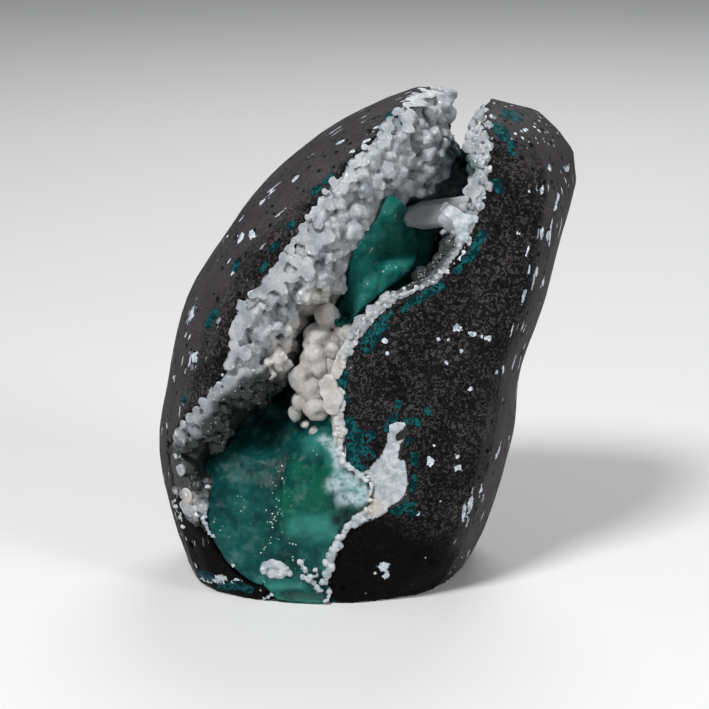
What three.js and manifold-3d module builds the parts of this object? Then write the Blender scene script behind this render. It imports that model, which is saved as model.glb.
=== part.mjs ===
// A green apophyllite specimen: crystals in an open cavity of dark basalt, lined with a white knobbly crust.
// Millimetres, +Z up. The stone stands on its sawn base, and its open face looks along -Y.
// The origin is the middle of the bounding box at its bottom.
import * as THREE from "three";
import { mergeVertices } from "three/addons/utils/BufferGeometryUtils.js";
import Module from "manifold-3d";

const wasm = await Module();
wasm.setup();

// Gap that keeps touching pieces apart.
const GAP = 0.3;

// The stone: its outline seen from the front, [x, z], clockwise from the crest at the top.
const STONE_OUTLINE = [
  [14, 111.2], [24, 110.2], [33, 108.4], [42.5, 106.4], [49, 101.5], [52.6, 94.5], [48.6, 80], [43.6, 62],
  [39, 46], [37.2, 30], [34.4, 13], [26, -3], [14, -17], [-8, -22], [-27, -15], [-36.4, -3], [-42, 15],
  [-44.6, 31], [-42.2, 48], [-36.2, 67], [-25.4, 84], [-9.2, 99], [3.4, 106.8],
];
const STONE_CENTRE = new THREE.Vector3(2, 0, 55);
const FRONT_DEPTH = 34;
const BACK_DEPTH = 34;
// 2 would be an ellipse through the stone's thickness, and more is a flatter front with tighter edges.
const BODY_ROUNDNESS = 2.7;
// How sharply the ground facets meet the body and each other.
const FACET_SHARPNESS = 16;
// Flat places ground on the stone: the way each one faces, and its distance from the centre.
const FACETS = [
  { faces: [0.94, -0.27, -0.23], distance: 39.6 },
  { faces: [0.1, -0.985, 0.12], distance: 32 },
  { faces: [0.72, -0.3, 0.62], distance: 63 },
  { faces: [0.25, 0.95, 0.1], distance: 32 },
  { faces: [-0.72, 0.66, 0.2], distance: 39 },
  { faces: [0.55, -0.45, -0.7], distance: 58 },
];
const SURFACE_WAVE = 0.35;
const STONE_DETAIL = 9;

// Small open gas bubbles in the stone's surface.
const PITS = 26;
const PIT_RADIUS = [0.9, 1.9];

// The viewer's eye, from which the outlines of the cavity are drawn, and the upright plane they are drawn in.
const EYE = new THREE.Vector3(0, -579.6, 205.6);
const DRAWING_PLANE_Y = -22;

// The two sides of the cavity's rim, [x, z] in the drawing plane, from the base up to the open top.
const LEFT_RIM = [
  [-16.5, -12], [-19.5, -2.4], [-25.8, 7.6], [-33.6, 14.5], [-39.5, 22], [-41.6, 31], [-38.5, 40],
  [-29, 52.5], [-26.6, 65], [-17.6, 75.8], [-7.2, 93], [3.3, 104.5], [12, 114], [20, 124],
];
const RIGHT_RIM = [
  [-7.5, -12], [-7, -4], [-5.1, 7.2], [-0.9, 16.5], [-0.5, 27], [-2.8, 38.5], [-3.4, 50], [0.1, 58.6],
  [8.2, 68], [17.6, 72.2], [24.1, 80.9], [28.2, 91], [28.9, 98.5], [27.3, 104], [30, 114], [33, 124],
];
const RIM_RAGGEDNESS = 0.6;
// The cavity's section from the left rim to the right one, low down and at the top:
// [share of the way across, share of the depth].
const LOW_SECTION = [
  [0, 0], [0.16, 0.12], [0.34, 0.28], [0.42, 0.55], [0.52, 0.88], [0.82, 1], [1.1, 0.85], [1.14, 0.45],
  [1, 0],
];
const TOP_SECTION = [
  [0, 0], [0.26, 0.14], [0.52, 0.3], [0.7, 0.55], [0.74, 0.9], [0.88, 1], [1.02, 0.9], [1.08, 0.45],
  [1, 0],
];
// Between these shares of the height the one section turns into the other.
const SECTION_CHANGE = [0.72, 0.92];
const SECTION_STEPS = 8;
const SECTIONS = 22;
// How deep the cavity is, at even steps from the base to the top.
const DEPTHS = [8, 15, 30, 42, 46, 46, 45, 45, 46, 46, 46];

// The cleft by which the cavity runs out through the top of the back, [x, z] in the drawing plane.
const CLEFT_OUTLINE = [
  [18, 125], [20, 111], [20.4, 105], [22, 103], [25, 103.5], [27, 107], [29, 112], [31, 125],
];
const CLEFT_REACH = [-30, 75];

// The side pocket that is filled flush with white mineral, [x, z] in the drawing plane.
const POCKET_OUTLINE = [
  [-3.5, 33], [0.5, 29.5], [3.6, 31], [6.6, 36], [7.2, 40.2], [10, 41], [12.2, 40], [10.8, 34], [12.2, 27],
  [11.8, 22.5], [8.5, 20.6], [4.8, 18.2], [-1.5, 16],
];
const POCKET_REACH = [-40, 9];

// The crust's thickness on the walls, and the round knobs that grow on it.
const CRUST = 2.1;
const WALL_KNOBS = 84;
const WALL_KNOB_RADIUS = [2.6, 4];
// A knob's centre stands this far off the wall, and its neighbours keep off by this share of their radii.
const KNOB_RISE = 2.2;
const KNOB_SPACING = 0.58;
// The pillar of fused knobs on the right rim: [x, z] in the drawing plane, depth behind it, radius.
const PILLAR_KNOBS = [
  [-5.5, 64.6, 7, 2.6], [-2.2, 61.5, 7, 2.6], [-8.6, 60.5, 5, 3], [-5.4, 58.4, 3.5, 3], [-9.2, 55, 3.5, 3.2],
  [-5.4, 54, 2.5, 3.2], [-10.6, 50, 3, 3.2], [-6.8, 49.5, 2.5, 3.4], [-11.8, 45, 4, 3], [-8, 44.6, 2.5, 3.6],
  [-5, 43, 2.5, 3], [-11.6, 40.6, 5, 2.3], [-6, 39.4, 3, 2.8], [-3.4, 55.8, 3, 2.4], [-4.6, 47, 3, 2.8],
];
// The fin of crust that stands off the right rim, in the same terms.
const FIN_KNOBS = [
  [19.6, 86.5, 6, 1.8], [21.6, 85, 5, 2.2], [23.8, 86, 4, 2.4], [24, 82, 4, 2.6], [22.8, 79, 4, 2.2],
];

// Apophyllite blocks: centre, width of the square section, length, and tilt about x, y and z in degrees.
const LOWER_CRYSTALS = [
  { at: [-23.5, -13, 21.5], width: 18, length: 22, tilt: [12, -14, 24] },
  { at: [-11.5, -13, 25], width: 18, length: 21, tilt: [20, 12, -22] },
  { at: [-17.5, -18, 13], width: 17, length: 17, tilt: [-14, 10, 40] },
  { at: [-13, -24, 5], width: 14, length: 13, tilt: [10, -8, 40] },
  { at: [-27, -20, 13], width: 15, length: 15, tilt: [18, -30, 8] },
  { at: [-6.5, -19, 16], width: 11, length: 13, tilt: [-10, 24, 30] },
  { at: [-22.5, -1, 33], width: 16, length: 17, tilt: [26, -24, 10] },
  { at: [-12.5, -2, 35], width: 14, length: 15, tilt: [16, 24, 30] },
];
const UPPER_CRYSTALS = [
  { at: [3.5, 4, 70.5], width: 17, length: 36, tilt: [4, 8, 32] },
  { at: [4, -4, 62], width: 16, length: 26, tilt: [3, 10, 26] },
  { at: [-5, 0, 59], width: 12, length: 20, tilt: [8, -6, 12] },
];
// The reach of the faces that cut a block's corners, as a share of its width and of its length.
const CORNER_REACH = [1.32, 0.95];
// Nothing of the crystals or the crust reaches the plane of the base.
const CLEAR_OF_BASE = 0.5;

// Stilbite blades: root, length, width, thickness, and turn about x, y and z in degrees.
const BLADES = [
  { at: [27.5, -2, 84.8], length: 17.5, width: 6.4, thick: 3.4, tilt: [84, 8, 96] },
  { at: [26, 1.5, 88.8], length: 13, width: 5, thick: 3, tilt: [104, -10, 84] },
];

const COLOURS = {
  basalt: { color: 0x2b2624, roughness: 0.85 },
  druse: { color: 0xcfcac6, roughness: 0.45 },
  apophyllite: { color: 0x1d7f68, roughness: 0.2 },
  stilbite: { color: 0xb9b6ae, roughness: 0.35 },
};

// Slivers smaller than this are smoothed away from the finished pieces.
const SMALLEST_FEATURE = 0.1;

// Random numbers that are the same on every run.
function randomFrom(seed) {
  let state = seed;
  return () => {
    state = (state * 1664525 + 1013904223) % 4294967296;
    return state / 4294967296;
  };
}

const between = ([low, high], share) => low + (high - low) * share;

// A closed three.js geometry as a solid that can be cut and joined.
function solidOf(geometry) {
  const bare = new THREE.BufferGeometry().setAttribute("position", geometry.getAttribute("position"));
  bare.setIndex(geometry.index);
  const merged = mergeVertices(bare, 1e-4);
  return new wasm.Manifold(new wasm.Mesh({
    numProp: 3,
    vertProperties: new Float32Array(merged.attributes.position.array),
    triVerts: new Uint32Array(merged.index.array),
  }));
}

// The largest body of a solid, without the crumbs and bubbles that a cut can leave.
function largestOf(solid) {
  return solid.decompose().reduce((best, body) => (body.volume() > best.volume() ? body : best));
}

function geometryOf(solid) {
  const mesh = solid.getMesh();
  const geometry = new THREE.BufferGeometry();
  geometry.setAttribute("position", new THREE.BufferAttribute(new Float32Array(mesh.vertProperties), 3));
  geometry.setIndex(new THREE.BufferAttribute(new Uint32Array(mesh.triVerts), 1));
  return geometry;
}

function placed(geometry, tilt, at) {
  const turn = new THREE.Euler(...tilt.map(THREE.MathUtils.degToRad));
  return geometry.applyMatrix4(new THREE.Matrix4().makeRotationFromEuler(turn).setPosition(...at));
}

// A smooth curve through points that are drawn in the drawing plane.
function drawnCurve(points, closed) {
  return new THREE.CatmullRomCurve3(points.map(([x, z]) => new THREE.Vector3(x, DRAWING_PLANE_Y, z)), closed);
}

function sightThrough(p) {
  return p.clone().sub(EYE).normalize();
}

// A closed skin through rings of points, with each end closed by a fan about its middle.
function loft(rings) {
  const count = rings[0].length;
  const points = rings.flat();
  const faces = [];
  for (let ring = 0; ring + 1 < rings.length; ring++) {
    for (let i = 0; i < count; i++) {
      const next = (i + 1) % count;
      const [a, b] = [ring * count + i, ring * count + next];
      faces.push(a, b, b + count, a, b + count, a + count);
    }
  }
  for (const ring of [0, rings.length - 1]) {
    const middle = rings[ring].reduce((sum, p) => sum.add(p), new THREE.Vector3()).divideScalar(count);
    for (let i = 0; i < count; i++) {
      const [a, b] = [ring * count + i, ring * count + ((i + 1) % count)];
      faces.push(...(ring === 0 ? [b, a] : [a, b]), points.length);
    }
    points.push(middle);
  }
  // The faces may all point inwards, depending on the order of the rings. Turned round, they point outwards.
  let volume = 0;
  for (let i = 0; i < faces.length; i += 3) {
    const [p, q, r] = [0, 1, 2].map((k) => points[faces[i + k]]);
    volume += p.dot(q.clone().cross(r));
  }
  return new THREE.BufferGeometry().setFromPoints(points).setIndex(volume < 0 ? faces.reverse() : faces);
}

// A skin as a solid, with its wall moved inwards by a distance.
function insetSolid(skin, inset) {
  skin.computeVertexNormals();
  const [places, normals] = [skin.getAttribute("position"), skin.getAttribute("normal")];
  for (let i = 0; i < places.count; i++) {
    const p = new THREE.Vector3().fromBufferAttribute(places, i);
    p.addScaledVector(new THREE.Vector3().fromBufferAttribute(normals, i), -inset);
    places.setXYZ(i, p.x, p.y, p.z);
  }
  return solidOf(skin);
}

// A skin that follows the lines of sight through a drawn outline, from one distance to another.
function sightPrism(outline, [near, far], steps) {
  const points = drawnCurve(outline, true).getSpacedPoints(steps).slice(0, -1);
  const ring = (distance) => points.map((p) => p.clone().addScaledVector(sightThrough(p), distance));
  return loft([ring(near), ring(far)]);
}

// The distance from the stone's centre to its outline, by angle.
const outlineTable = drawnCurve(STONE_OUTLINE, true).getPoints(360).map((p) => {
  const [x, z] = [p.x - STONE_CENTRE.x, p.z - STONE_CENTRE.z];
  return [Math.atan2(z, x), Math.hypot(x, z)];
}).sort((a, b) => a[0] - b[0]);

function outlineRadius(angle) {
  const next = outlineTable.findIndex(([a]) => a >= angle);
  if (next <= 0) return outlineTable[0][1];
  const [[a0, r0], [a1, r1]] = [outlineTable[next - 1], outlineTable[next]];
  return r0 + ((r1 - r0) * (angle - a0)) / Math.max(a1 - a0, 1e-9);
}

// How far the stone reaches from its centre in a direction, before its base is sawn off.
function stoneReach(d) {
  const across = Math.hypot(d.x, d.z) / outlineRadius(Math.atan2(d.z, d.x));
  const through = Math.abs(d.y) / (d.y < 0 ? FRONT_DEPTH : BACK_DEPTH);
  let sum = (across ** BODY_ROUNDNESS + through ** BODY_ROUNDNESS) ** (FACET_SHARPNESS / BODY_ROUNDNESS);
  for (const { faces, distance } of FACETS) {
    const cosine = (faces[0] * d.x + faces[1] * d.y + faces[2] * d.z) / Math.hypot(...faces);
    sum += Math.max(0, cosine / distance) ** FACET_SHARPNESS;
  }
  const wave = Math.sin(5 * d.x + 3 * d.z) * Math.cos(4 * d.y - 2 * d.z) + Math.sin(9 * d.z + 4 * d.x * d.y);
  return sum ** (-1 / FACET_SHARPNESS) + SURFACE_WAVE * wave;
}

function wholeStone() {
  const ball = new THREE.IcosahedronGeometry(1, STONE_DETAIL);
  const places = ball.getAttribute("position");
  const d = new THREE.Vector3();
  for (let i = 0; i < places.count; i++) {
    d.fromBufferAttribute(places, i).normalize();
    d.multiplyScalar(stoneReach(d)).add(STONE_CENTRE);
    places.setXYZ(i, d.x, d.y, d.z);
  }
  const below = new THREE.BoxGeometry(200, 200, 100).translate(0, 0, -50);
  return solidOf(ball).subtract(solidOf(below));
}

// Where the line of sight through a drawn point meets the stone, or passes nearest to it.
function onStone(drawn) {
  const sight = sightThrough(drawn);
  const p = drawn.clone().addScaledVector(sight, -25);
  const best = { excess: Infinity, p: drawn.clone() };
  for (let step = 0; step < 280 && best.excess > 0; step++) {
    const d = p.clone().sub(STONE_CENTRE);
    const excess = d.length() - stoneReach(d.clone().normalize());
    if (excess < best.excess) Object.assign(best, { excess, p: p.clone() });
    p.addScaledVector(sight, 0.25);
  }
  return best.p;
}

// The cavity's sections from the base up, each with its two rim points on the stone and its depth.
function cavitySections() {
  const random = randomFrom(7);
  const ragged = () => RIM_RAGGEDNESS * (2 * random() - 1);
  const spaced = (side) => drawnCurve(side, false).getSpacedPoints(SECTIONS);
  const rights = spaced(RIGHT_RIM);
  return spaced(LEFT_RIM).map((drawnLeft, i) => {
    const jittered = (p) => p.add(new THREE.Vector3(ragged(), 0, ragged()));
    const [left, right] = [drawnLeft, rights[i]].map((p) => onStone(jittered(p)));
    const step = (i / SECTIONS) * (DEPTHS.length - 1);
    const below = Math.min(Math.floor(step), DEPTHS.length - 2);
    const depth = THREE.MathUtils.lerp(DEPTHS[below], DEPTHS[below + 1], step - below);
    const sight = sightThrough(left.clone().lerp(right, 0.5));
    const change = THREE.MathUtils.smoothstep(i / SECTIONS, ...SECTION_CHANGE);
    const shape = new THREE.SplineCurve(LOW_SECTION.map((low, k) => (
      new THREE.Vector2(...low).lerp(new THREE.Vector2(...TOP_SECTION[k]), change)
    )));
    return { left, right, depth, sight, shape };
  });
}

const sections = cavitySections();

// A point of the cavity's wall: across is 0 at the left rim and 1 at the right one.
function wallPoint({ left, right, depth, sight, shape }, across) {
  const place = shape.getPoint(across);
  return left.clone().lerp(right, place.x).addScaledVector(sight, place.y * depth);
}

// The cavity's wall, carried on out of the stone towards the viewer.
function cavitySkin() {
  return loft(sections.map((section) => {
    const ring = Array.from({ length: SECTION_STEPS + 1 }, (_, i) => wallPoint(section, i / SECTION_STEPS));
    const outside = [section.right, section.left].map((p) => p.clone().addScaledVector(section.sight, -45));
    return [...ring, ...outside];
  }));
}

function knob(p, radius) {
  return solidOf(new THREE.IcosahedronGeometry(radius, 1).translate(p.x, p.y, p.z));
}

// Round knobs all over the wall, closest together where the viewer sees it.
function wallKnobs() {
  const random = randomFrom(21);
  const kept = [];
  for (let tries = 0; tries < 8000 && kept.length < WALL_KNOBS; tries++) {
    const [from, to] = random() < 0.85 ? [0.03, 0.42] : [0.42, 0.97];
    const across = between([from, to], random());
    const radius = between(WALL_KNOB_RADIUS, random());
    const at = Math.floor(random() * (sections.length - 1));
    const [low, high] = [sections[at], sections[at + 1]].map((section) => wallPoint(section, across));
    const around = wallPoint(sections[at], across + 0.01).sub(wallPoint(sections[at], across - 0.01));
    const inwards = around.cross(high.clone().sub(low)).normalize();
    const centre = low.lerp(high, random()).addScaledVector(inwards, KNOB_RISE);
    if (kept.every((other) => other.centre.distanceTo(centre) > KNOB_SPACING * (other.radius + radius))) {
      kept.push({ centre, radius, turn: [random() * 180, random() * 180, 0] });
    }
  }
  return kept.map(({ centre, radius, turn }) => (
    solidOf(placed(new THREE.IcosahedronGeometry(radius, 0), turn, centre.toArray()))
  ));
}

// Knobs at drawn places, each sunk behind the drawing plane by its own depth.
function drawnKnobs(list) {
  return list.map(([x, z, depth, radius]) => {
    const p = new THREE.Vector3(x, DRAWING_PLANE_Y, z);
    return knob(p.addScaledVector(sightThrough(p), depth), radius);
  });
}

// Square blocks with their corners cut, fused into one mass. Grown ones clear a gap around it.
function crystals(list, grow) {
  return wasm.Manifold.union(list.map(({ at, width, length, tilt }) => {
    const [w, l] = [width + 2 * grow, length + 2 * grow];
    const block = placed(new THREE.BoxGeometry(w, w, l), tilt, at);
    const [side, end] = [w * CORNER_REACH[0], l * CORNER_REACH[1]];
    const corners = placed(new THREE.OctahedronGeometry(1, 0).scale(side, side, end), tilt, at);
    return solidOf(block).intersect(solidOf(corners));
  }));
}

// Flat blades with a blunt tip, fused at their roots.
function blades(grow) {
  return wasm.Manifold.union(BLADES.map(({ at, length, width, thick, tilt }) => {
    const [w, l, t] = [width / 2 + grow, length + grow, thick + 2 * grow];
    const tip = [[w, l * 0.72], [w * 0.62, l * 0.93], [0, l], [-w * 0.62, l * 0.93], [-w, l * 0.72]];
    const outline = [[-w, 0], [w, 0], ...tip];
    const shape = new THREE.Shape(outline.map(([x, y]) => new THREE.Vector2(x, y)));
    const bevel = t * 0.28;
    const blade = new THREE.ExtrudeGeometry(shape, {
      depth: t - 2 * bevel, bevelThickness: bevel, bevelSize: bevel, bevelOffset: -bevel, bevelSegments: 1,
    });
    return solidOf(placed(blade.translate(0, 0, bevel - t / 2), tilt, at));
  }));
}

// Small open bubbles over the stone, away from the cavity and the base.
function surfacePits() {
  const random = randomFrom(5);
  const rim = sections.flatMap(({ left, right }) => [left, left.clone().lerp(right, 0.5), right]);
  const pits = [];
  while (pits.length < PITS) {
    const d = new THREE.Vector3(2 * random() - 1, 0.6 - 1.6 * random(), 2 * random() - 1).normalize();
    const p = d.clone().multiplyScalar(stoneReach(d)).add(STONE_CENTRE);
    const radius = between(PIT_RADIUS, random());
    const clear = p.z > 6 && rim.every((q) => q.distanceTo(p) > 9);
    if (clear) pits.push(solidOf(new THREE.IcosahedronGeometry(radius, 0).translate(p.x, p.y, p.z)));
  }
  return wasm.Manifold.union(pits);
}

const whole = wholeStone();
const aboveBase = solidOf(new THREE.BoxGeometry(200, 200, 300).translate(0, 0, 150 + CLEAR_OF_BASE));
const cavity = (inset) => insetSolid(cavitySkin(), inset);
// The filling stops short of the pocket's far end as well.
const pocket = (inset) => (
  insetSolid(sightPrism(POCKET_OUTLINE, [POCKET_REACH[0], POCKET_REACH[1] - 3 * inset], 26), inset)
);
const cleft = insetSolid(sightPrism(CLEFT_OUTLINE, CLEFT_REACH, 18), 0);

// The largest body of a solid, without the slivers that its cuts leave.
const tidied = (solid) => largestOf(solid).simplify(SMALLEST_FEATURE);

const stone = tidied(whole.subtract(cavity(0)).subtract(pocket(0)).subtract(cleft).subtract(surfacePits()));

// The crust fills the cavity's outer layer. Its knobs stand into the hollow, and keep clear of the crystals.
const insideWall = cavity(GAP + CRUST);
const around = crystals([...LOWER_CRYSTALS, ...UPPER_CRYSTALS], GAP).add(blades(GAP)).intersect(insideWall);
const knobs = wasm.Manifold.union([...wallKnobs(), ...drawnKnobs(PILLAR_KNOBS), ...drawnKnobs(FIN_KNOBS)]);
const hollow = insideWall.subtract(knobs).add(around).add(cleft);
const layer = cavity(GAP).add(pocket(GAP)).intersect(whole).intersect(aboveBase);
const crust = tidied(layer.subtract(hollow));

// The crystals keep clear of the crust's wall.
const insideCrust = cavity(2 * GAP + CRUST).intersect(aboveBase);
const clear = (solid) => largestOf(tidied(solid.intersect(insideCrust)).subtract(crust));

const PIECES = {
  basalt_matrix: [stone, "basalt"],
  druse_crust: [crust, "druse"],
  apophyllite_lower: [clear(crystals(LOWER_CRYSTALS, 0)), "apophyllite"],
  apophyllite_upper: [clear(crystals(UPPER_CRYSTALS, 0).subtract(blades(GAP))), "apophyllite"],
  stilbite_blades: [clear(blades(0)), "stilbite"],
};

const group = new THREE.Group();
group.name = "apophyllite_specimen";
for (const [name, [solid, slot]] of Object.entries(PIECES)) {
  const material = new THREE.MeshStandardMaterial({ name: slot, metalness: 0, ...COLOURS[slot] });
  const mesh = new THREE.Mesh(geometryOf(solid), material);
  mesh.name = name;
  group.add(mesh);
}
const box = new THREE.Box3().setFromObject(group);
const middle = box.getCenter(new THREE.Vector3());
group.position.set(-middle.x, -middle.y, -box.min.z);

export default group;
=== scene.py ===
# %% [markdown]
# # A green apophyllite specimen
# The real object is a fist of dark basalt, ground smooth outside, that stands on a sawn base. A slanting cavity
# opens in its front. A crust of white knobs lines the cavity, and blue-green apophyllite has grown on the crust.
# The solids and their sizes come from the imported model. This file gives them their natural surfaces.

import math
import random
from contextlib import contextmanager

import bmesh
import bpy
import numpy as np
from mathutils import Matrix, Vector, noise
from mathutils.bvhtree import BVHTree


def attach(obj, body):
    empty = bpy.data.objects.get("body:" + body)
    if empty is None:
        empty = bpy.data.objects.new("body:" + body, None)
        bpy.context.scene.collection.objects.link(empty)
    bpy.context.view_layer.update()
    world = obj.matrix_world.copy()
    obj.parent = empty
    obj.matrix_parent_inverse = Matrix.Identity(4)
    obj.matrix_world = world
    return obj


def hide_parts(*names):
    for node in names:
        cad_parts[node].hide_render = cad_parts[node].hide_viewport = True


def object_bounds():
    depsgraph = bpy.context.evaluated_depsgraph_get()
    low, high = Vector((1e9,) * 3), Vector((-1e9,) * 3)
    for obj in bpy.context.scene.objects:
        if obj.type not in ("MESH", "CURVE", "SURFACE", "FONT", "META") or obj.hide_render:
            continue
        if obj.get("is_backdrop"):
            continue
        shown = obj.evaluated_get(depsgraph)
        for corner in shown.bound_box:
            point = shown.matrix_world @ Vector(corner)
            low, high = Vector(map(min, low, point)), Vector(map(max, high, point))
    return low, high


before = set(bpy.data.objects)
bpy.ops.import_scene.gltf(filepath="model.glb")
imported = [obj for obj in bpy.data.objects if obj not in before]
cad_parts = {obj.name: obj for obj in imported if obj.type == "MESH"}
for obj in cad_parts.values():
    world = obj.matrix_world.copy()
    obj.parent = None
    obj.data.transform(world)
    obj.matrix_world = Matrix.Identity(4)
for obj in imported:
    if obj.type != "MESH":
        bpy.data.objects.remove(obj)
cad_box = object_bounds()
MM = 0.001
print("model box, mm:", [[round(v / MM, 1) for v in corner] for corner in cad_box])

# %% [markdown]
# ## The camera
# The photo looks slightly down on the open face from far away, with a long lens. The camera comes first, because
# several small marks on the stone are put where a line of sight through a place in the picture meets its surface.

# %% Camera
PICTURE = 709
EYE = Vector((-2.73, -579.33, 205.6)) * MM
AIM = Vector((-2.73, 0.23, 50.3)) * MM
LENS_MM = 133.0
SENSOR_MM = 36.0

camera_data = bpy.data.cameras.new("camera")
camera_data.lens = LENS_MM
camera_data.sensor_width = SENSOR_MM
camera = bpy.data.objects.new("camera", camera_data)
bpy.context.scene.collection.objects.link(camera)
camera.location = EYE
camera.rotation_euler = (AIM - EYE).to_track_quat("-Z", "Y").to_euler()
bpy.context.scene.camera = camera


def line_of_sight(place):
    """The direction from the eye through a place in the picture, which is 709 wide and 709 high."""
    right = Vector((1, 0, 0))
    forward = (AIM - EYE).normalized()
    up = right.cross(forward)
    across = (place[0] - PICTURE / 2) / PICTURE * SENSOR_MM / LENS_MM
    rise = (PICTURE / 2 - place[1]) / PICTURE * SENSOR_MM / LENS_MM
    return (forward + across * right + rise * up).normalized()


def seen_on(tree, place):
    """Where the line of sight through a place in the picture first meets a surface."""
    return tree.ray_cast(EYE, line_of_sight(place))[0]


# %% [markdown]
# ## Small tools
# Blender's operators act on everything that is selected, so each step first selects one piece alone. Finer shapes
# than the solids have are made by remeshing a copy into even cells and moving its points.

# %% Helpers for pieces
def choose(*pieces):
    bpy.ops.object.select_all(action="DESELECT")
    for piece in pieces:
        piece.select_set(True)
    bpy.context.view_layer.objects.active = pieces[-1]


def modify(piece, kind, **settings):
    """Adds a modifier to a piece, sets it up and applies it."""
    choose(piece)
    modifier = piece.modifiers.new(kind.lower(), kind)
    for key, value in settings.items():
        setattr(modifier, key, value)
    bpy.ops.object.modifier_apply(modifier=modifier.name)


@contextmanager
def editing(piece, selected="SELECT"):
    """Opens a piece for editing, with all of it selected or nothing, gives its points and faces, and closes it."""
    choose(piece)
    bpy.ops.object.mode_set(mode="EDIT")
    bpy.ops.mesh.select_all(action=selected)
    yield bmesh.from_edit_mesh(piece.data)
    bpy.ops.object.mode_set(mode="OBJECT")


def merged_copy(node, name):
    """A copy of a CAD node's mesh with its loose triangles merged into one skin."""
    piece = bpy.data.objects.new(name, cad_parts[node].data.copy())
    bpy.context.scene.collection.objects.link(piece)
    piece.data.materials.clear()
    with editing(piece):
        bpy.ops.mesh.remove_doubles(threshold=0.001 * MM)
    return piece


def tree_of(piece):
    mesh = piece.data
    return BVHTree.FromPolygons([v.co for v in mesh.vertices], [p.vertices for p in mesh.polygons])


def finish_piece(piece, material, slot, *nodes):
    """Shades a finished piece smoothly, gives it its material, hangs it under the root body and hides the CAD nodes
    it stands for.
    """
    choose(piece)
    bpy.ops.object.shade_smooth()
    piece.data.materials.clear()
    piece.data.materials.append(material)
    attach(piece, "root")
    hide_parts(*nodes)
    print(piece.name, "has", len(piece.data.polygons), "faces")


# %% [markdown]
# ## The stone
# The outside is ground basalt: an even curved surface, broken by small gas bubbles. The CAD solid has the right
# shape in large flat triangles. A voxel remesh gives it an even fine skin, and the side that shows most gets a
# finer one. Then every point is pushed in or out a little, for the waviness, the worm-like grain of the ground
# vesicles, and the open bubbles. The grain fades on the flanks, which were ground smoother.

# %% Stone shape
STONE_VOXEL = 1.0 * MM
WAVE = 0.25 * MM
GRAIN = 0.22 * MM
BUBBLE_SPACING = 3.0 * MM
BUBBLE_DEPTH = 0.8 * MM
SHARE_OF_OPEN_BUBBLES = 0.22
LIP = 1.2 * MM
LIP_FADES = 3.0 * MM

crust_solid = merged_copy("druse_crust", "crust_solid")
crust_tree = tree_of(crust_solid)


def push_points(piece, amount):
    """Moves each point of a piece along its normal by the distance that amount(place, normal) gives."""
    mesh = piece.data
    places = [v.co + v.normal * amount(v.co, v.normal) for v in mesh.vertices]
    for vertex, place in zip(mesh.vertices, places):
        vertex.co = place
    mesh.update()


def open_bubble(place):
    """The depth of an open bubble at a place: round hollows of several sizes, in some of the cells of space."""
    distances, centres = noise.voronoi(place / BUBBLE_SPACING)
    chance = noise.cell(centres[0] * 7.0)
    radius = 0.18 + 0.8 * chance
    if chance > SHARE_OF_OPEN_BUBBLES or distances[0] > radius:
        return 0.0
    return BUBBLE_DEPTH * (0.4 + chance / SHARE_OF_OPEN_BUBBLES) * (1 - (distances[0] / radius) ** 2)


def grow_lip(piece):
    """Draws the stone's rim over the outer half of the crust by an uneven width, so that their border is ragged."""
    for vertex in piece.data.vertices:
        nearest, _, _, distance = crust_tree.find_nearest(vertex.co, LIP_FADES)
        if nearest and distance > 0:
            uneven = 0.5 + 0.9 * noise.noise(vertex.co / (2.2 * MM)) + 0.5 * noise.noise(vertex.co / (0.9 * MM))
            step = (0.2 * MM + LIP * max(0.0, uneven)) * (1 - distance / LIP_FADES)
            vertex.co += (nearest - vertex.co).normalized() * step


def stone_relief(place, normal):
    face_on = min(1.0, max(0.15, -1.6 * normal.y - 0.25))
    grain = abs(noise.noise(place / (0.85 * MM))) - 0.2
    wave = WAVE * noise.noise(place / (12 * MM)) + GRAIN * face_on * grain
    return wave - (0.0 if place.z < 1.5 * MM else open_bubble(place))


stone = merged_copy("basalt_matrix", "basalt_stone")
modify(stone, "REMESH", mode="VOXEL", voxel_size=STONE_VOXEL)
with editing(stone, "DESELECT") as skin:
    for face in skin.faces:
        middle = face.calc_center_median()
        lined = crust_tree.ray_cast(middle, face.normal, 1.5 * MM)[0]
        face.select = lined is None and face.normal.dot(EYE - middle) > 0 and middle.z > 1 * MM
    bmesh.update_edit_mesh(stone.data)
    bpy.ops.mesh.subdivide(number_cuts=1, smoothness=0)
grow_lip(stone)
push_points(stone, stone_relief)
print("stone faces:", len(stone.data.polygons))

# %% [markdown]
# ## Marks on the stone
# Blue-green stains lie beside the cavity's rim, white minerals fill the larger bubbles, the stone below the cavity is
# darker, browner and smoother, and the ground side past the front's right edge is greyer, partly as painted light on
# the side. All of them are only colour. They are kept as values on every point of the stone, strongest in the middle
# of a mark, and the material turns them into ragged patches. All places are given in the picture, across and down, in
# 709ths of its width. One such part is about 0.229 mm on the object.

# %% Tools for marks
PART = 0.229 * MM
view_forward = (AIM - EYE).normalized()
view_right = Vector((1, 0, 0))
view_up = view_right.cross(view_forward)


def points_of(piece):
    """All points of a piece, as an array with a row for each."""
    flat = np.empty(len(piece.data.vertices) * 3)
    piece.data.vertices.foreach_get("co", flat)
    return flat.reshape(-1, 3)


def picture_places(places):
    """Where the camera sees each of an array of places: across and down in the picture."""
    offset = places - np.array(EYE)
    scale = PICTURE * LENS_MM / SENSOR_MM / (offset @ np.array(view_forward))
    return np.stack([PICTURE / 2 + scale * (offset @ np.array(view_right)),
                     PICTURE / 2 - scale * (offset @ np.array(view_up))], axis=1)


def mark_points(piece, name, values):
    """Keeps a value on every point of a piece, under a name that its material can read."""
    piece.data.attributes.new(name, "FLOAT", "POINT").data.foreach_set("value", values)


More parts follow.
